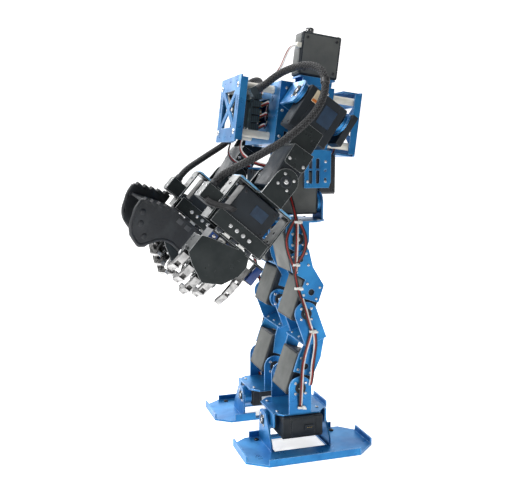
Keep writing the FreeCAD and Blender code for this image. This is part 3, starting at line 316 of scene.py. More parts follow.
SKINS = {
    # the third colour of a sheet paints its edges: bare-metal wear and a painted edge highlight
    "blue": sheet_metal("blue_anodised", (0.010, 0.135, 0.37), (0.028, 0.235, 0.54), (0.40, 0.62, 0.86),
                        metallic=0.62, wear_and_highlight_level=0.85),
    "dark": sheet_metal("dark_sheet", (0.012, 0.017, 0.018), (0.028, 0.034, 0.035), (0.62, 0.64, 0.65),
                        metallic=0.55, wear_and_highlight_level=1.0),
    "servo": moulded("servo_black", (0.008, 0.012, 0.017), (0.014, 0.020, 0.027), specular=0.35),
    "panel": moulded("servo_panel", (0.070, 0.075, 0.072), (0.100, 0.105, 0.101), (0.5, 0.68),
                     grain=2400, depth=0.35, specular=0.4),
    "micro": moulded("micro_servo", (0.012, 0.016, 0.022), (0.022, 0.030, 0.042), (0.25, 0.4)),
    "clear_blue": moulded("clear_blue_plastic", (0.010, 0.035, 0.16), (0.02, 0.07, 0.26), (0.12, 0.25),
                          grain=900, depth=0.1),
    "steel": bare_metal("bright_metal", (0.20, 0.20, 0.20), (0.46, 0.455, 0.45)),
    "screw": bare_metal("screw_steel", (0.55, 0.56, 0.57), (0.80, 0.80, 0.80), (0.2, 0.34)),
    "black_screw": bare_metal("black_screw_steel", (0.03, 0.03, 0.035), (0.07, 0.07, 0.075), (0.3, 0.45)),
    "brass": bare_metal("gold_pins", (0.50, 0.33, 0.08), (0.78, 0.56, 0.20)),
    # the nylon's rim colour: rubbed wear and a painted edge highlight
    "nylon": moulded("nylon_ivory", (0.66, 0.63, 0.54), (0.78, 0.75, 0.67), (0.4, 0.55),
                     grain=700, depth=0.2, rim=(0.9, 0.88, 0.8)),
    "board": circuit(),
    "wrap": shrink_wrap(),
    "braid": braid(),
    "rubber": rubber(),
    "red": vinyl("red_wire", (0.24, 0.010, 0.010), (0.38, 0.020, 0.016)),
    "white": vinyl("white_plastic", (0.66, 0.66, 0.63), (0.80, 0.80, 0.78)),
    "black_wire": vinyl("black_wire", (0.008, 0.008, 0.009), (0.020, 0.020, 0.022)),
    "pale_blue": vinyl("pale_blue_strip", (0.10, 0.30, 0.52), (0.16, 0.40, 0.62), (0.35, 0.5)),
    "grey": vinyl("grey_pad", (0.045, 0.048, 0.052), (0.07, 0.073, 0.078), (0.45, 0.6)),
    "cream": vinyl("cream_label", (0.62, 0.50, 0.33), (0.74, 0.64, 0.46), (0.45, 0.6)),
    "orange": vinyl("orange_label", (0.62, 0.16, 0.02), (0.75, 0.24, 0.05), (0.45, 0.6)),
    "label_blue": vinyl("blue_label", (0.006, 0.022, 0.05), (0.010, 0.036, 0.08), (0.35, 0.5)),
}

NODE_SKINS = (
    ("finger_servos", "micro"), ("servo", "servo"), ("head_spline", "servo"), ("battery", "wrap"),
    ("nylon", "nylon"), ("control", "board"), ("hand_guard", "rubber"), ("cable", "braid"),
    ("elbow_bracket", "dark"), ("forearm_bracket", "dark"), ("wrist_bracket", "dark"), ("palm", "dark"),
    ("finger", "steel"), ("thumb", "steel"),
)


def paint_nodes():
    for name, node in frame["nodes"].items():
        skin = next((skin for part, skin in NODE_SKINS if part in name), "blue")
        node.data.materials.clear()
        node.data.materials.append(SKINS[skin])


# ---------------------------------------------------------------- mesh pieces

piles = {}


def pile(body, skin, name):
    """The mesh that gathers one kind of detail on one body."""
    key = (name, skin, body)
    if key not in piles:
        piles[key] = bmesh.new()
    return piles[key]


def lathe(mesh, place, profile, sides=20):
    """A turned shape about local Z; the profile is (radius, height) points."""
    rings = []
    for radius, height in profile:
        if radius == 0:
            rings.append([mesh.verts.new(place @ Vector((0, 0, height)))])
            continue
        rings.append([mesh.verts.new(place @ Vector((radius * cos(2 * pi * i / sides),
                                                     radius * sin(2 * pi * i / sides), height)))
                      for i in range(sides)])
    for low, high in zip(rings, rings[1:]):
        for i in range(sides):
            j = (i + 1) % sides
            corners = [low[i % len(low)], low[j % len(low)], high[j % len(high)], high[i % len(high)]]
            mesh.faces.new(list(dict.fromkeys(corners)))


def screw(mesh, place, radius=1.5, high=0.9):
    """A domed screw head with a hexagon socket, seated on local Z = 0."""
    dome = [(radius, -0.2), (radius, high * 0.45), (radius * 0.86, high * 0.85), (radius * 0.56, high)]
    socket = [(radius * 0.56, high), (radius * 0.50, high * 0.95), (radius * 0.46, high * 0.25),
              (0, high * 0.2)]
    lathe(mesh, place, dome, 18)
    lathe(mesh, place, socket, 6)


def slab(mesh, place, size, bevel=0.4, segments=2):
    """A block with rounded edges, centred on `place`."""
    made = bmesh.ops.create_cube(mesh, size=1.0, matrix=place @ Matrix.Diagonal((*size, 1)))
    edges = list({edge for vert in made["verts"] for edge in vert.link_edges})
    bmesh.ops.bevel(mesh, geom=edges, offset=bevel, segments=segments, profile=0.7, affect="EDGES")


def spline_points(route, finer=10):
    """Points along the smooth curve that the route steers, in millimetres."""
    curve = bpy.data.curves.new("route", "CURVE")
    curve.dimensions = "3D"
    spline = curve.splines.new("NURBS")
    spline.points.add(len(route) - 1)
    for point, spot in zip(spline.points, route):
        point.co = (*spot, 1)
    spline.order_u = 3
    spline.use_endpoint_u = True
    spline.resolution_u = finer
    carrier = bpy.data.objects.new("route", curve)
    mesh = bpy.data.meshes.new_from_object(carrier)
    points = [v.co.copy() for v in mesh.vertices]
    bpy.data.objects.remove(carrier)
    bpy.data.meshes.remove(mesh)
    bpy.data.curves.remove(curve)
    return points


def sweep(mesh, points, radius, sides=10, uv=None):
    """A round tube along the points, its ends closed; `uv` receives turns round and distance along."""
    forward = (points[1] - points[0]).normalized()
    up = forward.orthogonal().normalized()
    rings, along, distance = [], [], 0.0
    for i, spot in enumerate(points):
        ahead = (points[min(i + 1, len(points) - 1)] - points[max(i - 1, 0)]).normalized()
        up = (up - ahead * up.dot(ahead)).normalized()
        across = ahead.cross(up)
        angles = [2 * pi * k / sides for k in range(sides)]
        rings.append([mesh.verts.new(spot + radius * (up * cos(angle) + across * sin(angle)))
                      for angle in angles])
        distance += (spot - points[i - 1]).length if i else 0.0
        along.append(distance / (2 * pi * radius))
    for i, (low, high) in enumerate(zip(rings, rings[1:])):
        for k in range(sides):
            j = (k + 1) % sides
            face = mesh.faces.new([low[k], low[j], high[j], high[k]])
            if uv:
                corners = ((k, i), (k + 1, i), (k + 1, i + 1), (k, i + 1))
                for loop, (turns, ring) in zip(face.loops, corners):
                    loop[uv].uv = (turns / sides, along[ring])
    mesh.faces.new(list(reversed(rings[0])))
    mesh.faces.new(rings[-1])


def finish_mesh(mesh, name, skin):
    """A Blender object from a mesh in millimetres, with its material and smooth shading."""
    bmesh.ops.recalc_face_normals(mesh, faces=mesh.faces)
    data = bpy.data.meshes.new(name)
    mesh.transform(Matrix.Translation((0, SHIFT * MM, 0)) @ Matrix.Scale(MM, 4))
    mesh.to_mesh(data)
    mesh.free()
    for polygon in data.polygons:
        polygon.use_smooth = True
    data.set_sharp_from_angle(angle=radians(38))
    data.materials.append(SKINS[skin])
    made = bpy.data.objects.new(name, data)
    bpy.context.scene.collection.objects.link(made)
    return made


def finish_piles():
    for (name, skin, body), mesh in piles.items():
        made = finish_mesh(mesh, f"{name}_{skin}_{body}", skin)
        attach(made, body)


# ---------------------------------------------------------------- details of a servo and its joint

def servo_details(body, place, socket_end=1, panel=True):
    """Case screws, raised side panels and a lead socket on a servo.

    The servo's shaft is local X, its long end is local -Z.
    """
    far = SHAFT_INSET - SERVO_LONG
    middle = SHAFT_INSET - SERVO_LONG / 2
    screw_y, screw_inset = 7.4, 2.6
    socket_x = socket_end * 6
    for end in (1, -1):
        for y in (1, -1):
            for z in (SHAFT_INSET - screw_inset, far + screw_inset):
                screw(pile(body, "black_screw", "case_screws"),
                      place @ at(end * HALF_TALL, y * screw_y, z) @ turn("Y", 90 * end), 1.3, 0.6)
    if panel:
        for y in (1, -1):
            slab(pile(body, "panel", "case_panel"), place @ at(0, y * (HALF_WIDE + 0.1), middle),
                 (36.5, 0.7, 37.0), 0.35)
    slab(pile(body, "servo", "case_end"), place @ at(0, 0, far - 0.1), (21.5, 16, 0.7), 0.3)
    slab(pile(body, "servo", "lead_socket"), place @ at(socket_x, 0, far - 0.8), (8.4, 4.6, 2.2), 0.4)
    for pin in (-2, 0, 2):
        slab(pile(body, "brass", "lead_pins"), place @ at(socket_x + pin, 0, far - 2.0),
             (0.6, 0.6, 1.0), 0.1, 1)


HORN_SCREWS = 4


def pivot_screws(body, place, axis="X", outside=EAR_OUTSIDE, ring=7.0):
    """The screws that hold a bracket's two ears to a servo's horns, with a cap at each pivot."""
    for end in (1, -1):
        facing = turn("Y", 90 * end) if axis == "X" else turn("X", -90 * end)
        for i in range(HORN_SCREWS):
            angle = 2 * pi * (i + 0.5) / HORN_SCREWS
            screw(pile(body, "screw", "horn_screws"),
                  place @ facing @ at(ring * cos(angle), ring * sin(angle), outside), 1.35, 0.8)
        cap = ring - 1.8
        lathe(pile(body, "servo", "horn_caps"), place @ facing @ at(0, 0, outside),
              [(cap, -0.2), (cap, 0.6), (cap - 0.5, 1.0), (2.7, 1.0), (2.7, 0.2), (0, 0.2)], 28)
        screw(pile(body, "screw", "horn_screws"), place @ facing @ at(0, 0, outside + 0.2), 2.2, 0.9)


def shelf_screws(body, place, spots, radius=1.5, skin="screw", high=0.8):
    """Screws standing on local +Z at each (x, y, z)."""
    for spot in spots:
        screw(pile(body, skin, "sheet_screws"), place @ at(*spot), radius, high)


def zip_tie(body, centre, facing):
    """A cable tie: a flat strap round a bundle, its head, and the cut tail."""
    place = at(*centre) @ facing
    half_wide, half_deep = 1.5, 2.7
    loop = []
    for i in range(24):
        angle = 2 * pi * i / 24
        loop.append(Vector((half_wide * cos(angle), half_deep * sin(angle), 0)))
    mesh = pile(body, "white", "cable_tie")
    rings = [[mesh.verts.new(place @ (spot * scale + Vector((0, 0, z))))
              for scale, z in ((1, -1.1), (1.12, -1.1), (1.12, 1.1), (1, 1.1))] for spot in loop]
    for one, two in zip(rings, rings[1:] + rings[:1]):
        for k in range(4):
            j = (k + 1) % 4
            mesh.faces.new([one[k], one[j], two[j], two[k]])
    head_x, head_y = half_wide * 0.9, half_deep * 0.9
    slab(mesh, place @ at(head_x, head_y, 0), (2.4, 2.6, 3.2), 0.4)
    slab(mesh, place @ at(head_x + 2.2, head_y + 0.6, 0) @ turn("Z", 15), (3.4, 0.6, 1.8), 0.15)


WIRE_RADIUS = 0.65


def lead(name, route, body, other=None, across=(0, 1, 0),
         colours=("black_wire", "red", "white")):
    """A flat lead, a wire for each colour. It rides on one body; given a second body, it spans the joint
    between the two and is left unattached.
    """
    points = spline_points(route)
    sideways = Vector(across).normalized() * WIRE_RADIUS * 2
    for i, skin in enumerate(colours):
        mesh = bmesh.new()
        offset = sideways * (i - (len(colours) - 1) / 2)
        sweep(mesh, [p + offset for p in points], WIRE_RADIUS, 8)
        made = finish_mesh(mesh, f"lead_{name}_{skin}", skin)
        if other:
            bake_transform(made)
        else:
            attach(made, body)


# ---------------------------------------------------------------- trunk

def trunk_details():
    chest_plate_details()
    board_details()
    for x in (-36, -12, 12, 36):
        for y in (-20, 20):
            shelf_screws("torso", CHEST, [(x, y, 28.0)], 1.4)
            screw(pile("torso", "screw", "sheet_screws"), CHEST @ at(x, y, -28.0) @ turn("X", 180), 1.4, 0.8)
    for side in (-1, 1):
        for y, z in ((-20, 22), (20, 22), (-22, -21), (22, -21), (-22, 2), (22, -6)):
            screw(pile("torso", "screw", "sheet_screws"),
                  CHEST @ at(side * (CAGE_HALF_WIDE + SHEET), y, z) @ turn("Y", 90 * side), 1.4, 0.8)
        for y, z in ((4, 250), (4, 272), (21.5, 250), (21.5, 268)):
            screw(pile("torso", "screw", "sheet_screws"),
                  at(side * SIDE_PLATE_X, y, z) @ turn("Y", 90 * side), 1.3, 0.7)
    battery_details()
    head_details()
    trunk_leads()


def chest_plate_details():
    """The screws of the two chest plates, and the collars on the standoffs' ends."""
    half_deep, spread_x, spread_z = 59.0, 27.0, 21.0
    plate_out = half_deep + SHEET / 2
    for x in (-1, 1):
        for z in (-1, 1):
            for y, facing in ((-plate_out, turn("X", 90)), (plate_out, turn("X", -90))):
                screw(pile("torso", "screw", "plate_screws"),
                      CHEST @ at(x * spread_x, y, z * spread_z) @ facing, 2.6, 1.0)
            for y in (-57.0, -27.2, 27.2, 57.0):
                lathe(pile("torso", "nylon", "standoff_collar"),
                      CHEST @ at(x * spread_x, y, z * spread_z) @ turn("X", 90),
                      [(3.5, -0.9), (4.1, -0.5), (4.1, 0.5), (3.5, 0.9)], 6)


def board_details():
    """Header pins, terminal and board screws, and chips with their legs."""
    board_front = -44.0 - SHEET / 2
    pin_pitch_x, pin_pitch_z, chip_x, chip_pitch, leg_pitch = 1.7, 3.5, 3.2, 8.5, 1.27
    for side in (-1, 1):
        for row in range(10):
            for column in range(3):
                spot = CHEST @ at(side * HEADER_X + (column - 1) * pin_pitch_x, -35.2,
                                  -15.6 + row * pin_pitch_z)
                slab(pile("torso", "brass", "header_pins"), spot, (0.6, 3.2, 0.6), 0.1, 1)
        for row in range(6):
            spot = CHEST @ at(side * 12, board_front - 7.2, -12.5 + row * 5)
            screw(pile("torso", "screw", "terminal_screws"), spot @ turn("X", 90), 1.5, 0.5)
        for z in (-17, 17):
            screw(pile("torso", "screw", "board_screws"),
                  CHEST @ at(side * 20, board_front, z) @ turn("X", 90), 1.6, 0.8)
        for row in range(4):
            slab(pile("torso", "servo", "board_chips"),
                 CHEST @ at(side * chip_x, board_front - 1.0, -13 + row * chip_pitch),
                 (4.4, 1.8, 5.6), 0.3)
            for leg in range(4):
                for end in (-1, 1):
                    spot = CHEST @ at(side * chip_x + end * 2.6, board_front - 0.4,
                                      -14.9 + row * chip_pitch + leg * leg_pitch)
                    slab(pile("torso", "screw", "chip_legs"), spot, (1.2, 0.4, 0.4), 0.08, 1)


def battery_details():
    """A blank label, two straps and the pack's two-wire lead."""
    back = 41.6
    slab(pile("torso", "label_blue", "battery_label"), at(0, back, 255.5), (40, 0.5, 22), 0.15, 1)
    for x in (-20, 20):
        slab(pile("torso", "black_wire", "battery_strap"), at(x, back - 0.1, 255.5), (7, 0.9, 37.4), 0.3)
    route = [(22, 38, 273), (25, 41, 277), (28, 38, 283), (30, 30, 284), (30, 24, 279)]
    lead("battery", route, "torso", across=(1, 0, 0), colours=("red", "black_wire"))


def head_details():
    """The head servo's face panel, socket and screws, its toothed spline, and its lead to the board."""
    shaft_y, case_y, front_y, middle_z, socket_z = 12.0, 22.0, 2.0, 61.7, 68.5
    teeth, tooth_ring = 12, 3.55
    servo_details("torso", CHEST @ at(0, shaft_y, middle_z) @ turn("Y", -90) @ turn("X", 90), panel=False)
    slab(pile("torso", "panel", "head_face"), CHEST @ at(0, front_y - 0.1, middle_z), (16, 0.7, 36), 0.35)
    for end in (1, -1):
        slab(pile("torso", "panel", "head_side"), CHEST @ at(end * 10.1, case_y, middle_z),
             (0.7, 36, 36.5), 0.35)
        for z in (-15, 15):
            for y in (-15, 15):
                screw(pile("torso", "black_screw", "case_screws"),
                      CHEST @ at(end * 10.4, case_y + y, middle_z + z) @ turn("Y", 90 * end), 1.4, 0.6)
    slab(pile("torso", "nylon", "head_socket"), CHEST @ at(6, front_y - 2.2, socket_z), (8, 4.4, 4.6), 0.5)
    for i in range(teeth):
        angle = 2 * pi * i / teeth
        slab(pile("head", "steel", "spline_teeth"),
             CHEST @ at(tooth_ring * cos(angle), shaft_y + tooth_ring * sin(angle), 84.9)
             @ turn("Z", 360 / teeth * i), (0.7, 0.7, 3.4), 0.12, 1)
    screw(pile("head", "screw", "spline_screw"), CHEST @ at(0, shaft_y, 87.2), 2.2, 0.9)
    route = ((6, front_y - 2.6, socket_z), (7.5, -7.0, 67.5), (9, -12, 58), (10, -16.5, 43),
             (11, -26, 32), (13, -31, 22), (17, -35.5, 13))
    lead("head", [tuple(CHEST @ Vector(spot)) for spot in route], "torso", across=(1, 0.2, 0))


def trunk_leads():
    """Leads from the board's headers into the cage, and down to the hips."""
    for side in (-1, 1):
        side_name = "left" if side > 0 else "right"
        for count, row in enumerate((-14, -4, 6)):
            pin = CHEST @ Vector((side * HEADER_X, -34, row))
            goal = CHEST @ Vector((side * (14 - count * 3), -24.5, -8 + count * 5))
            out = CHEST @ Vector((side * (24 + count * 3), -30, row + 3))
            sag = out.lerp(goal, 0.5) + Vector((0, -2, -4))
            route = [tuple(spot) for spot in (pin, pin.lerp(out, 0.6), out, sag, goal)]
            lead(f"board_{side_name}_{count}", route, "torso", across=(0.3, 0, 1))
        route = [tuple(CHEST @ Vector((side * 15, -46.6, -15))), (side * 17, -50, 287), (side * 22, -52, 276),
                 (side * 30, -44, 268), (side * 36, -32, 264), (side * 38, -24, 263)]
        lead(f"harness_{side_name}", route, "torso", across=(0, 0.5, 1))


# ---------------------------------------------------------------- legs

def leg_details(side_name, side):
    leg = leg_frames(side_name)
    hip, thigh, shin, ankle, foot = (f"{part}_{side_name}"
                                     for part in ("hip", "thigh", "shin", "ankle", "foot"))
    shaft_on_y = turn("Z", 90)
    servo_details("torso", leg["hip_roll"] @ turn("X", 180) @ shaft_on_y, side)
    servo_details(thigh, leg["hip_pitch"] @ turn("X", HIP_SERVO_LEAN), side)
    servo_details(thigh, leg["knee"] @ turn("X", 180 - KNEE_SERVO_LEAN), side)
    servo_details(shin, leg["ankle_pitch"] @ turn("X", 180 - KNEE_SERVO_LEAN), side)
    servo_details(ankle, leg["ankle_roll"] @ turn("Y", -90 * side) @ shaft_on_y, 1, panel=False)
    pivot_screws(hip, leg["hip_roll"], "Y")
    pivot_screws(hip, leg["hip_pitch"])
    pivot_screws(shin, leg["knee"])
    pivot_screws(ankle, leg["ankle_pitch"])
    pivot_screws(foot, leg["ankle_roll"], "Y", outside=FOOT_EAR_OUTSIDE + SHEET / 2, ring=6.4)
    shelf_screws(hip, leg["hip_roll"], [(x, y, HIP_SHELF_Z) for x in (-18, 18) for y in (-18, 18)])
    shelf_screws(shin, leg["knee"] @ turn("X", KNEE_BRACKET_LEAN),
                 [(x, y, SHIN_SHELF_Z) for x in (-18, 0, 18) for y in (-7, 7)], 1.3)
    shelf_screws(ankle, leg["ankle_pitch"], [(x, y, ANKLE_SHELF_Z) for x in (-15, 15) for y in (-19, 21)])
    # the side plates' screws into the servo cases
    for frame_name, angle, body in (("hip_pitch", HIP_SERVO_LEAN, thigh),
                                    ("knee", 180 - KNEE_SERVO_LEAN, thigh),
                                    ("ankle_pitch", 180 - KNEE_SERVO_LEAN, shin)):
        for y in (-6.5, 6.5):
            for z in (-15.5, -26.5):
                spot = leg[frame_name] @ turn("X", angle) @ at(side * (HALF_TALL + SHEET), y, z)
                screw(pile(body, "screw", "sheet_screws"), spot @ turn("Y", 90 * side), 1.3, 0.7)
    for i in (-1, 1):
        for j in (-1, 1):
            spot = at(side * (SOLE_MIDDLE_X + i * SOLE_HOLE_X), j * SOLE_HOLE_Y, 2.0)
            shelf_screws(foot, spot, [(0, 0, 0)], 2.5, "black_screw", 1.2)
    if side < 0:
        slab(pile(ankle, "white", "blank_label"), at(-25.8, -8, 19), (0.4, 14, 9), 0.15, 1)
    leg_leads(side_name, side)


def leg_leads(side_name, side):
    """The leads run down the outer side, tied at each limb, and slack at each joint."""
    hip, thigh, shin, ankle = (f"{part}_{side_name}" for part in ("hip", "thigh", "shin", "ankle"))

    def path(points):
        return [(side * x, y, z) for x, y, z in points]

    down = ("black_wire", "red", "white")
    back = ("white", "red", "black_wire")
    dark = ("black_wire", "red", "black_wire")
    lead(f"hip_{side_name}", path([(54, -16, 252), (57.5, -17, 240), (62.5, -14.5, 228), (63.8, -12, 213)]),
         "torso", hip, colours=dark)
    lead(f"thigh_front_{side_name}", path([(63.6, -13.5, 217), (65.2, -20, 208), (65.4, -23, 199),
                                           (64.2, -20, 186), (61.8, -14, 175), (61.0, -11, 162),
                                           (61.2, -9, 152), (62.4, -6, 143)]),
         hip, thigh, colours=dark)
    lead(f"thigh_middle_{side_name}", path([(63.6, -12, 217), (64.8, -12.5, 205), (64.8, -12.5, 190),
                                            (62.2, -12.4, 177), (61.6, -11.6, 168)]),
         hip, thigh, colours=down)
    lead(f"thigh_back_{side_name}", path([(63.6, -10.5, 217), (65.0, -6, 208), (65.2, -3, 197),
                                          (64.2, -5, 186), (62.4, -11, 177), (61.6, -12, 168)]),
         hip, thigh, colours=dark)
    lead(f"knee_{side_name}", path([(62.4, -6, 145), (63.8, -3, 136), (64.0, 0, 124), (63.0, 4.6, 112)]),
         thigh, shin)
    lead(f"shin_front_{side_name}", path([(62.8, 4.0, 115), (62.2, 1.5, 105), (61.4, -2.0, 92),
                                          (61.6, -4.5, 80), (64.2, -6.0, 68), (64.2, -6.5, 55),
                                          (62.8, -6.5, 43), (58.6, -6, 36.5)]),
         shin, ankle, colours=down)
    lead(f"shin_back_{side_name}", path([(62.8, 6.4, 115), (62.4, 8.5, 105), (61.2, 8.0, 93), (61.4, 6, 81),
                                         (64.0, 4.5, 70), (61.0, 4.0, 62)]),
         shin, ankle, colours=back)
    for body, (x, y, z) in ((hip, (63.6, -12, 214.8)), (thigh, (61.4, -13, 176)), (thigh, (61.0, -9.6, 154)),
                            (shin, (62.8, 4.6, 113.5)), (ankle, (62.8, -6.0, 42))):
        zip_tie(body, (side * x, y, z), turn("Z", 90 - 90 * side))


# ---------------------------------------------------------------- arms and hands

def arm_details(side_name, side):
    arm = arm_frames(side_name)
    shoulder_body, upper, fore, hand = (f"{part}_{side_name}"
                                        for part in ("shoulder", "upper_arm", "forearm", "hand"))
    shaft_on_y = turn("Z", 90)
    pitch_shaft = (at(side * SHOULDER_SERVO_X, 0, 0) @ joint_spot(f"shoulder_pitch_{side_name}")
                   @ at(-side * SHOULDER_X, 0, 0))
    servo_details("torso", pitch_shaft @ turn("X", -TRUNK_LEAN), -side, panel=False)
    roll_place = arm["shoulder"] @ shaft_on_y
    servo_details(upper, roll_place, side, panel=False)
    elbow_place = arm["shoulder"] @ at(0, ELBOW_BACK, -ELBOW_DROP)
    servo_details(upper, elbow_place @ turn("X", 180), side, panel=False)
    pivot_screws(shoulder_body, arm["shoulder"], "Y")
    pivot_screws(fore, arm["elbow"])
    slab(pile(shoulder_body, "servo", "idler_cover"), arm["shoulder"] @ at(0, 28.7, -4), (20, 6, 30), 1.2)
    outer = side * (HALF_WIDE + 0.5)
    slab(pile(upper, "cream", "sticker"), arm["shoulder"] @ at(outer, -9, 3), (0.4, 9, 11), 0.15, 1)
    slab(pile(upper, "orange", "sticker"), arm["shoulder"] @ at(outer + side * 0.1, -9, -0.8),
         (0.4, 8.4, 2.4), 0.1, 1)
    slab(pile(upper, "label_blue", "sticker"), arm["shoulder"] @ at(outer, 6.5, -6), (0.4, 13, 17), 0.15, 1)
    for y in (-7.2, 7.2):
        shelf_screws(upper, arm["shoulder"],
                     [(x, y + ELBOW_BACK, -ELBOW_DROP + 31.6) for x in (-16, 16)], 1.6)
        for end in (1, -1):
            spot = arm["shoulder"] @ at(end * (HALF_TALL + SHEET), y + ELBOW_BACK, -ELBOW_DROP + 19)
            screw(pile(upper, "screw", "sheet_screws"), spot @ turn("Y", 90 * end))
    forearm_details(arm, fore, side)
    hand_details(arm, side_name, side, hand)


def forearm_details(arm, body, side):
    elbow = arm["elbow"]
    for end in (1, -1):
        for y in (-10.5, -3.5, 3.5, 10.5):
            screw(pile(body, "screw", "sheet_screws"),
                  elbow @ at(end * (11 + SHEET), y, -55.9) @ turn("Y", 90 * end), 1.9, 0.9)
        for z in (-54, -45, -36, -27):
            for y, facing in ((-30.5, turn("X", 90)), (29.5, turn("X", -90))):
                behind_junction_box = y < 0 and z in (-45, -36)
                if not behind_junction_box:
                    screw(pile(body, "screw", "sheet_screws"), elbow @ at(0, y, z) @ facing, 1.6, 0.8)
        slab(pile(body, "label_blue", "wrist_label"),
             elbow @ at(end * 10.2, 4, -33), (0.4, 14, 10), 0.15, 1)
        for y in (-17.5, 15.5):
            for z in (-25, -46):
                screw(pile(body, "black_screw", "case_screws"),
                      elbow @ at(end * HALF_WIDE, y, z) @ turn("Y", 90 * end), 1.2, 0.5)
    slab(pile(body, "pale_blue", "shelf_strip"), elbow @ at(0, -0.5, -17.9), (24, 58, 1.4), 0.3)
    for x in (-8, 8):
        for y in (-26, -17, 17, 25):
            screw(pile(body, "screw", "sheet_screws"), elbow @ at(x, y, -17.2), 1.7, 0.8)
    # junction box at the sleeve's end: lid, clamp, screws and the leads that leave it
    slab(pile(body, "servo", "junction_lid"), elbow @ at(0, -38.5, -53.2), (16.6, 14.6, 1.0), 0.3)
    slab(pile(body, "servo", "junction_clamp"), elbow @ at(0, -41.0, -38.3), (9.4, 9.4, 1.6), 0.5)
    for x in (-6.5, 6.5):
        for z in (-42, -50):
            screw(pile(body, "screw", "junction_screws"), elbow @ at(x, -46.5, z) @ turn("X", 90), 1.1, 0.6)
    for count in range(2):
        route = [(8, -40, -50), (12, -41 - count, -53 + count), (15 + count, -35, -53 + 2 * count),
                 (15.5 + count, -26, -48 + 2 * count), (13, -19, -45 + count), (10, -15, -44 + count)]
        lead(f"wrist_{count}_{body}", [tuple(elbow @ Vector((side * x, y, z))) for x, y, z in route], body,
             across=(0, 1, 0.6), colours=("black_wire",) * 3)


FINGER_ROOTS = {"finger_1": (-22.5, -34.5), "finger_2": (-12.0, -40.0), "finger_3": (-1.5, -44.5),
                "finger_4": (9.5, -39.5), "thumb": (27.5, -13.0)}


def hand_details(arm, side_name, side, body):
    wrist = arm["wrist"]
    outer_face = PALM_PLATE_X + PALM_SHEET / 2
    for end in (1, -1):
        for y, z in ((-20, -14), (-20, -27), (-2, -36), (12, -29), (17, -10)):
            screw(pile(body, "screw", "palm_screws"),
                  wrist @ at(end * outer_face, y, z) @ turn("Y", 90 * end), 1.4, 0.7)
    # the row of small servos: white and clear blue caps by turns, splines, ends and flanges
    for i in range(5):
        y = -16 + i * 8.0
        skin = "white" if i % 2 else "clear_blue"
        end_skin = "white" if i % 2 else "micro"
        for end in (1, -1):
            slab(pile(body, skin, "micro_cap"), wrist @ at(end * 11.0, y, -9.5), (1.0, 6.6, 9.0), 0.4)
            lathe(pile(body, "steel", "micro_spline"), wrist @ at(end * 11.4, y, -7.5) @ turn("Y", 90 * end),
                  [(1.6, 0), (1.6, 0.5), (1.1, 0.7), (0, 0.7)], 12)
            slab(pile(body, end_skin, "micro_end"), wrist @ at(end * 12.8, y, -0.8), (2.0, 6.2, 3.0), 0.4)
        slab(pile(body, "micro", "micro_flange"), wrist @ at(0, y, -4.2), (23.0, 6.8, 1.2), 0.3)
    slab(pile(body, "clear_blue", "thumb_servo_case"), wrist @ at(0, THUMB_SERVO_Y, -11.7),
         (11.8, 7.2, 15.5), 0.7)
    slab(pile(body, "white", "thumb_servo_horn"), wrist @ at(-side * 6.4, THUMB_SERVO_Y, -15),
         (1.6, 2.6, 9), 0.5)
    for digit, (root_y, root_z) in FINGER_ROOTS.items():
        finger = f"{digit}_{side_name}"
        for end in (1, -1):
            lathe(pile(finger, "screw", "knuckle_cap"),
                  wrist @ at(0, root_y + end * 4.9, root_z) @ turn("X", -90 * end),
                  [(1.9, -0.1), (1.9, 0.5), (1.3, 0.9), (0, 0.9)], 14)
    # pushrods from the small servos to the four knuckles
    rod_from, rod_to = Vector((-side * 9.6, 0, -20)), Vector((-side * 2.0, 0, -33))
    for digit in ("finger_1", "finger_2", "finger_3", "finger_4"):
        root_y, root_z = FINGER_ROOTS[digit]
        start = wrist @ (rod_from + Vector((0, root_y * 0.8, 0)))
        end = wrist @ (rod_to + Vector((0, root_y, root_z + 35.5)))
        sweep(pile(body, "steel", "pushrods"), [start, start.lerp(end, 0.5), end], 0.55, 8)


SLEEVE_RADIUS = 3.3
GLAND_TILT = 34.0
GLAND_X, GLAND_Y, GLAND_Z = 35.5, -48.0, 15.5
SLEEVE_ROUTE = [(40.5, -30, 339.5), (47, -22, 346), (57.5, -12, 350.5), (70, -3, 351), (82, 2, 346),
                (90, 3, 336), (94, 0, 323), (95.5, -9, 308), (95.5, -23, 295), (94.5, -38, 284),
                (91.5, -52, 276), (87, -64, 269), (81, -76, 262.5)]
OVER_SHOULDER, PAST_SHOULDER = (90, 3, 336), (95.5, -16, 301)


def nearest(points, side, spot):
    """The index of the point closest to a spot that is given for the left side."""
    goal = Vector((side * spot[0], spot[1], spot[2]))
    return min(range(len(points)), key=lambda i: (points[i] - goal).length)


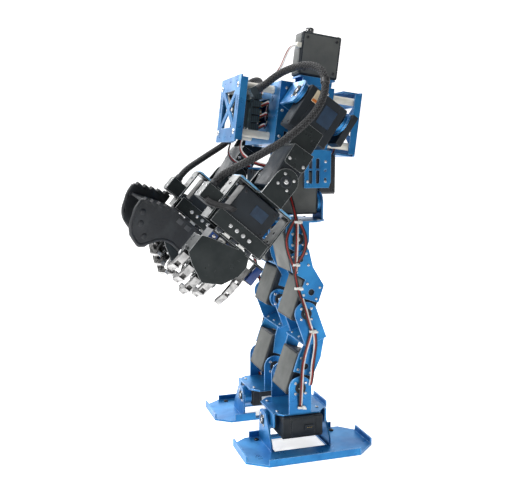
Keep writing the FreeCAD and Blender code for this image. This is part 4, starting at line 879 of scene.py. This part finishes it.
def sleeve(side_name, side):
    """The braided sleeve, in three lengths that part over the shoulder and past it; none of the lengths is
    attached to a body.
    """
    elbow = arm_frames(side_name)["elbow"]
    leaves = turn("X", GLAND_TILT) @ Vector((0, 1, 0))
    gland = Vector((side * GLAND_X, GLAND_Y, GLAND_Z))
    inner = [CHEST @ (gland + leaves * reach) for reach in (3.0, 9.0)]
    outer = [elbow @ Vector((0, -41.0, z)) for z in (-28.0, -39.0)]
    between = [Vector((side * x, y, z)) for x, y, z in SLEEVE_ROUTE]
    points = spline_points([tuple(spot) for spot in (*inner, *between, *outer)], 12)
    over_shoulder = nearest(points, side, OVER_SHOULDER)
    past_shoulder = nearest(points, side, PAST_SHOULDER)
    shoulder_start, elbow_start = points[over_shoulder], points[past_shoulder]
    stretches = (
        ("torso", points[:over_shoulder + 1], f"shoulder_{side_name}", points[4], shoulder_start),
        (f"shoulder_{side_name}", points[over_shoulder:past_shoulder + 1], f"upper_arm_{side_name}",
         shoulder_start, elbow_start),
        (f"upper_arm_{side_name}", points[past_shoulder:], f"forearm_{side_name}", elbow_start, points[-8]),
    )
    for count, (body, stretch, other, start, end) in enumerate(stretches):
        mesh = bmesh.new()
        uv = mesh.loops.layers.uv.new("round_and_along")
        sweep(mesh, stretch, SLEEVE_RADIUS, 20, uv)
        made = finish_mesh(mesh, f"sleeve_{side_name}_{count}", "braid")
        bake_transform(made)
        if count == 0:
            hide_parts(f"cable_sleeve_{side_name}")
    collar(points[2], points[4], "torso")
    collar(points[-2], points[-5], f"forearm_{side_name}")
    collar(points[over_shoulder], points[over_shoulder + 2], f"shoulder_{side_name}", "black_wire", 5.0)


def collar(spot, ahead, body, skin="rubber", long=7.0):
    """A short heat-shrunk cuff round the sleeve."""
    place = Matrix.Translation(spot) @ (ahead - spot).to_track_quat("Z", "Y").to_matrix().to_4x4()
    radius = SLEEVE_RADIUS
    profile = [(radius, -long / 2), (radius + 0.6, -long / 2 + 0.3), (radius + 0.7, long / 2 - 0.6),
               (radius, long / 2)]
    lathe(pile(body, skin, "sleeve_cuff"), place, profile, 24)


# ---------------------------------------------------------------- hand guard

INNER_CHEEK_RISE = 9


def guard_details():
    """A rim bead, two grey pads and three studs on each of the guard's cheeks."""
    wrist = arm_frames("right")["wrist"]
    rim = ((-73.0, -17.0), (-72.6, -26.0), (-69.0, -33.0), (-66.0, -41.0), (-59.5, -48.0), (-51.0, -51.0),
           (-44.0, -52.5), (-37.0, -44.0), (-31.0, -35.5), (-24.0, -31.5), (-15.0, -29.5), (-5.0, -31.0),
           (6.0, -31.0))
    for end in (1, -1):
        rise = INNER_CHEEK_RISE if end < 0 else 0
        route = [wrist @ Vector((end * GUARD_RIM_X, y, z + rise)) for y, z in rim]
        sweep(pile("hand_right", "rubber", "guard_rim"), spline_points([tuple(p) for p in route]), 1.9, 12)
        for y, z in ((-24, -8), (-12, -8)):
            slab(pile("hand_right", "grey", "guard_pad"), wrist @ at(end * GUARD_CHEEK_X, y, z + rise * 0.3),
                 (0.9, 7.5, 5.0), 0.45, 3)
        for y, z in ((-64, -24), (-58, -34), (-46, -42)):
            lathe(pile("hand_right", "rubber", "guard_stud"),
                  wrist @ at(end * GUARD_CHEEK_X, y, z + rise) @ turn("Y", 90 * end),
                  [(3.2, -0.2), (3.0, 0.5), (2.2, 0.9), (0, 1.0)], 24)


# ---------------------------------------------------------------- stage, light and camera

CAMERA_AZIMUTH, CAMERA_TILT, CAMERA_LENS = 72.6, 7.8, 49.9
CAMERA_SPOT = (0.6448, -0.2354, 0.273)


def studio():
    """White paper under the robot, which curves up behind it."""
    low_z = cad_low.z
    floor_mesh = bmesh.new()
    wide, near, far, rise, curve, steps = 3.0, -3.0, 2.6, 3.2, 1.2, 16
    angles = [pi / 2 * i / steps for i in range(steps + 1)]
    bend = [(far - curve + curve * sin(angle), low_z + curve * (1 - cos(angle))) for angle in angles]
    rows = [(near, low_z), *bend, (far, rise)]
    turned = Matrix.Rotation(radians(CAMERA_AZIMUTH), 4, "Z")
    verts = [[floor_mesh.verts.new(turned @ Vector((x, y, z))) for x in (-wide, wide)] for y, z in rows]
    for one, two in zip(verts, verts[1:]):
        floor_mesh.faces.new([one[0], one[1], two[1], two[0]])
    data = bpy.data.meshes.new("floor")
    floor_mesh.to_mesh(data)
    floor_mesh.free()
    for polygon in data.polygons:
        polygon.use_smooth = True
    paper = Nodes("paper_floor")
    paper.bump(paper.noise(900, 3), 0.02, 0.0002)
    paper.shader.inputs["Emission Color"].default_value = (1, 1, 1, 1)
    paper.shader.inputs["Emission Strength"].default_value = 0.72
    shade = paper.mix(paper.ramp(paper.noise(3, 2), 0, 1), (0.90, 0.90, 0.90), (0.92, 0.92, 0.92))
    data.materials.append(paper.set(base_color=shade, roughness=0.9))
    floor = bpy.data.objects.new("floor", data)
    bpy.context.scene.collection.objects.link(floor)


def light(name, spot, goal, size, watts):
    """A rectangular lamp at a spot, aimed at the goal."""
    data = bpy.data.lights.new(name, "AREA")
    data.shape = "RECTANGLE"
    data.size, data.size_y = size
    data.energy = watts
    lamp = bpy.data.objects.new(name, data)
    lamp.location = spot
    lamp.rotation_euler = (Vector(goal) - Vector(spot)).to_track_quat("-Z", "Y").to_euler()
    bpy.context.scene.collection.objects.link(lamp)


def lights_and_camera():
    azimuth = radians(CAMERA_AZIMUTH)
    toward = Vector((sin(azimuth), -cos(azimuth), 0))
    leftward = Vector((-cos(azimuth), -sin(azimuth), 0))
    goal = (0, 0.02, 0.2)
    light("key", toward * 0.35 + leftward * 1.1 + Vector((0, 0, 1.1)), goal, (0.7, 0.7), 24)
    light("fill", toward * 1.3 - leftward * 0.6 + Vector((0, 0, 0.8)), goal, (1.2, 1.2), 1.5)
    light("top", Vector((0, 0, 1.6)), goal, (1.2, 1.2), 12)
    light("rim", -toward * 1.0 + leftward * 0.4 + Vector((0, 0, 0.9)), goal, (0.8, 0.8), 8)
    world = bpy.data.worlds.new("studio")
    world.use_nodes = True
    world.node_tree.nodes["Background"].inputs["Color"].default_value = (0.95, 0.97, 1.0, 1)
    world.node_tree.nodes["Background"].inputs["Strength"].default_value = 0.10
    bpy.context.scene.world = world
    data = bpy.data.cameras.new("camera")
    data.lens, data.sensor_width, data.clip_start = CAMERA_LENS, 36.0, 0.01
    camera = bpy.data.objects.new("camera", data)
    camera.location = (CAMERA_SPOT[0], CAMERA_SPOT[1] + SHIFT * MM, CAMERA_SPOT[2])
    camera.rotation_euler = (radians(90 - CAMERA_TILT), 0, azimuth)
    bpy.context.scene.collection.objects.link(camera)
    bpy.context.scene.camera = camera
    bpy.context.scene.view_settings.view_transform = "Standard"


paint_nodes()
trunk_details()
for side_name, side in SIDES:
    leg_details(side_name, side)
    arm_details(side_name, side)
    sleeve(side_name, side)
guard_details()
finish_piles()
studio()
lights_and_camera()

bpy.context.view_layer.update()
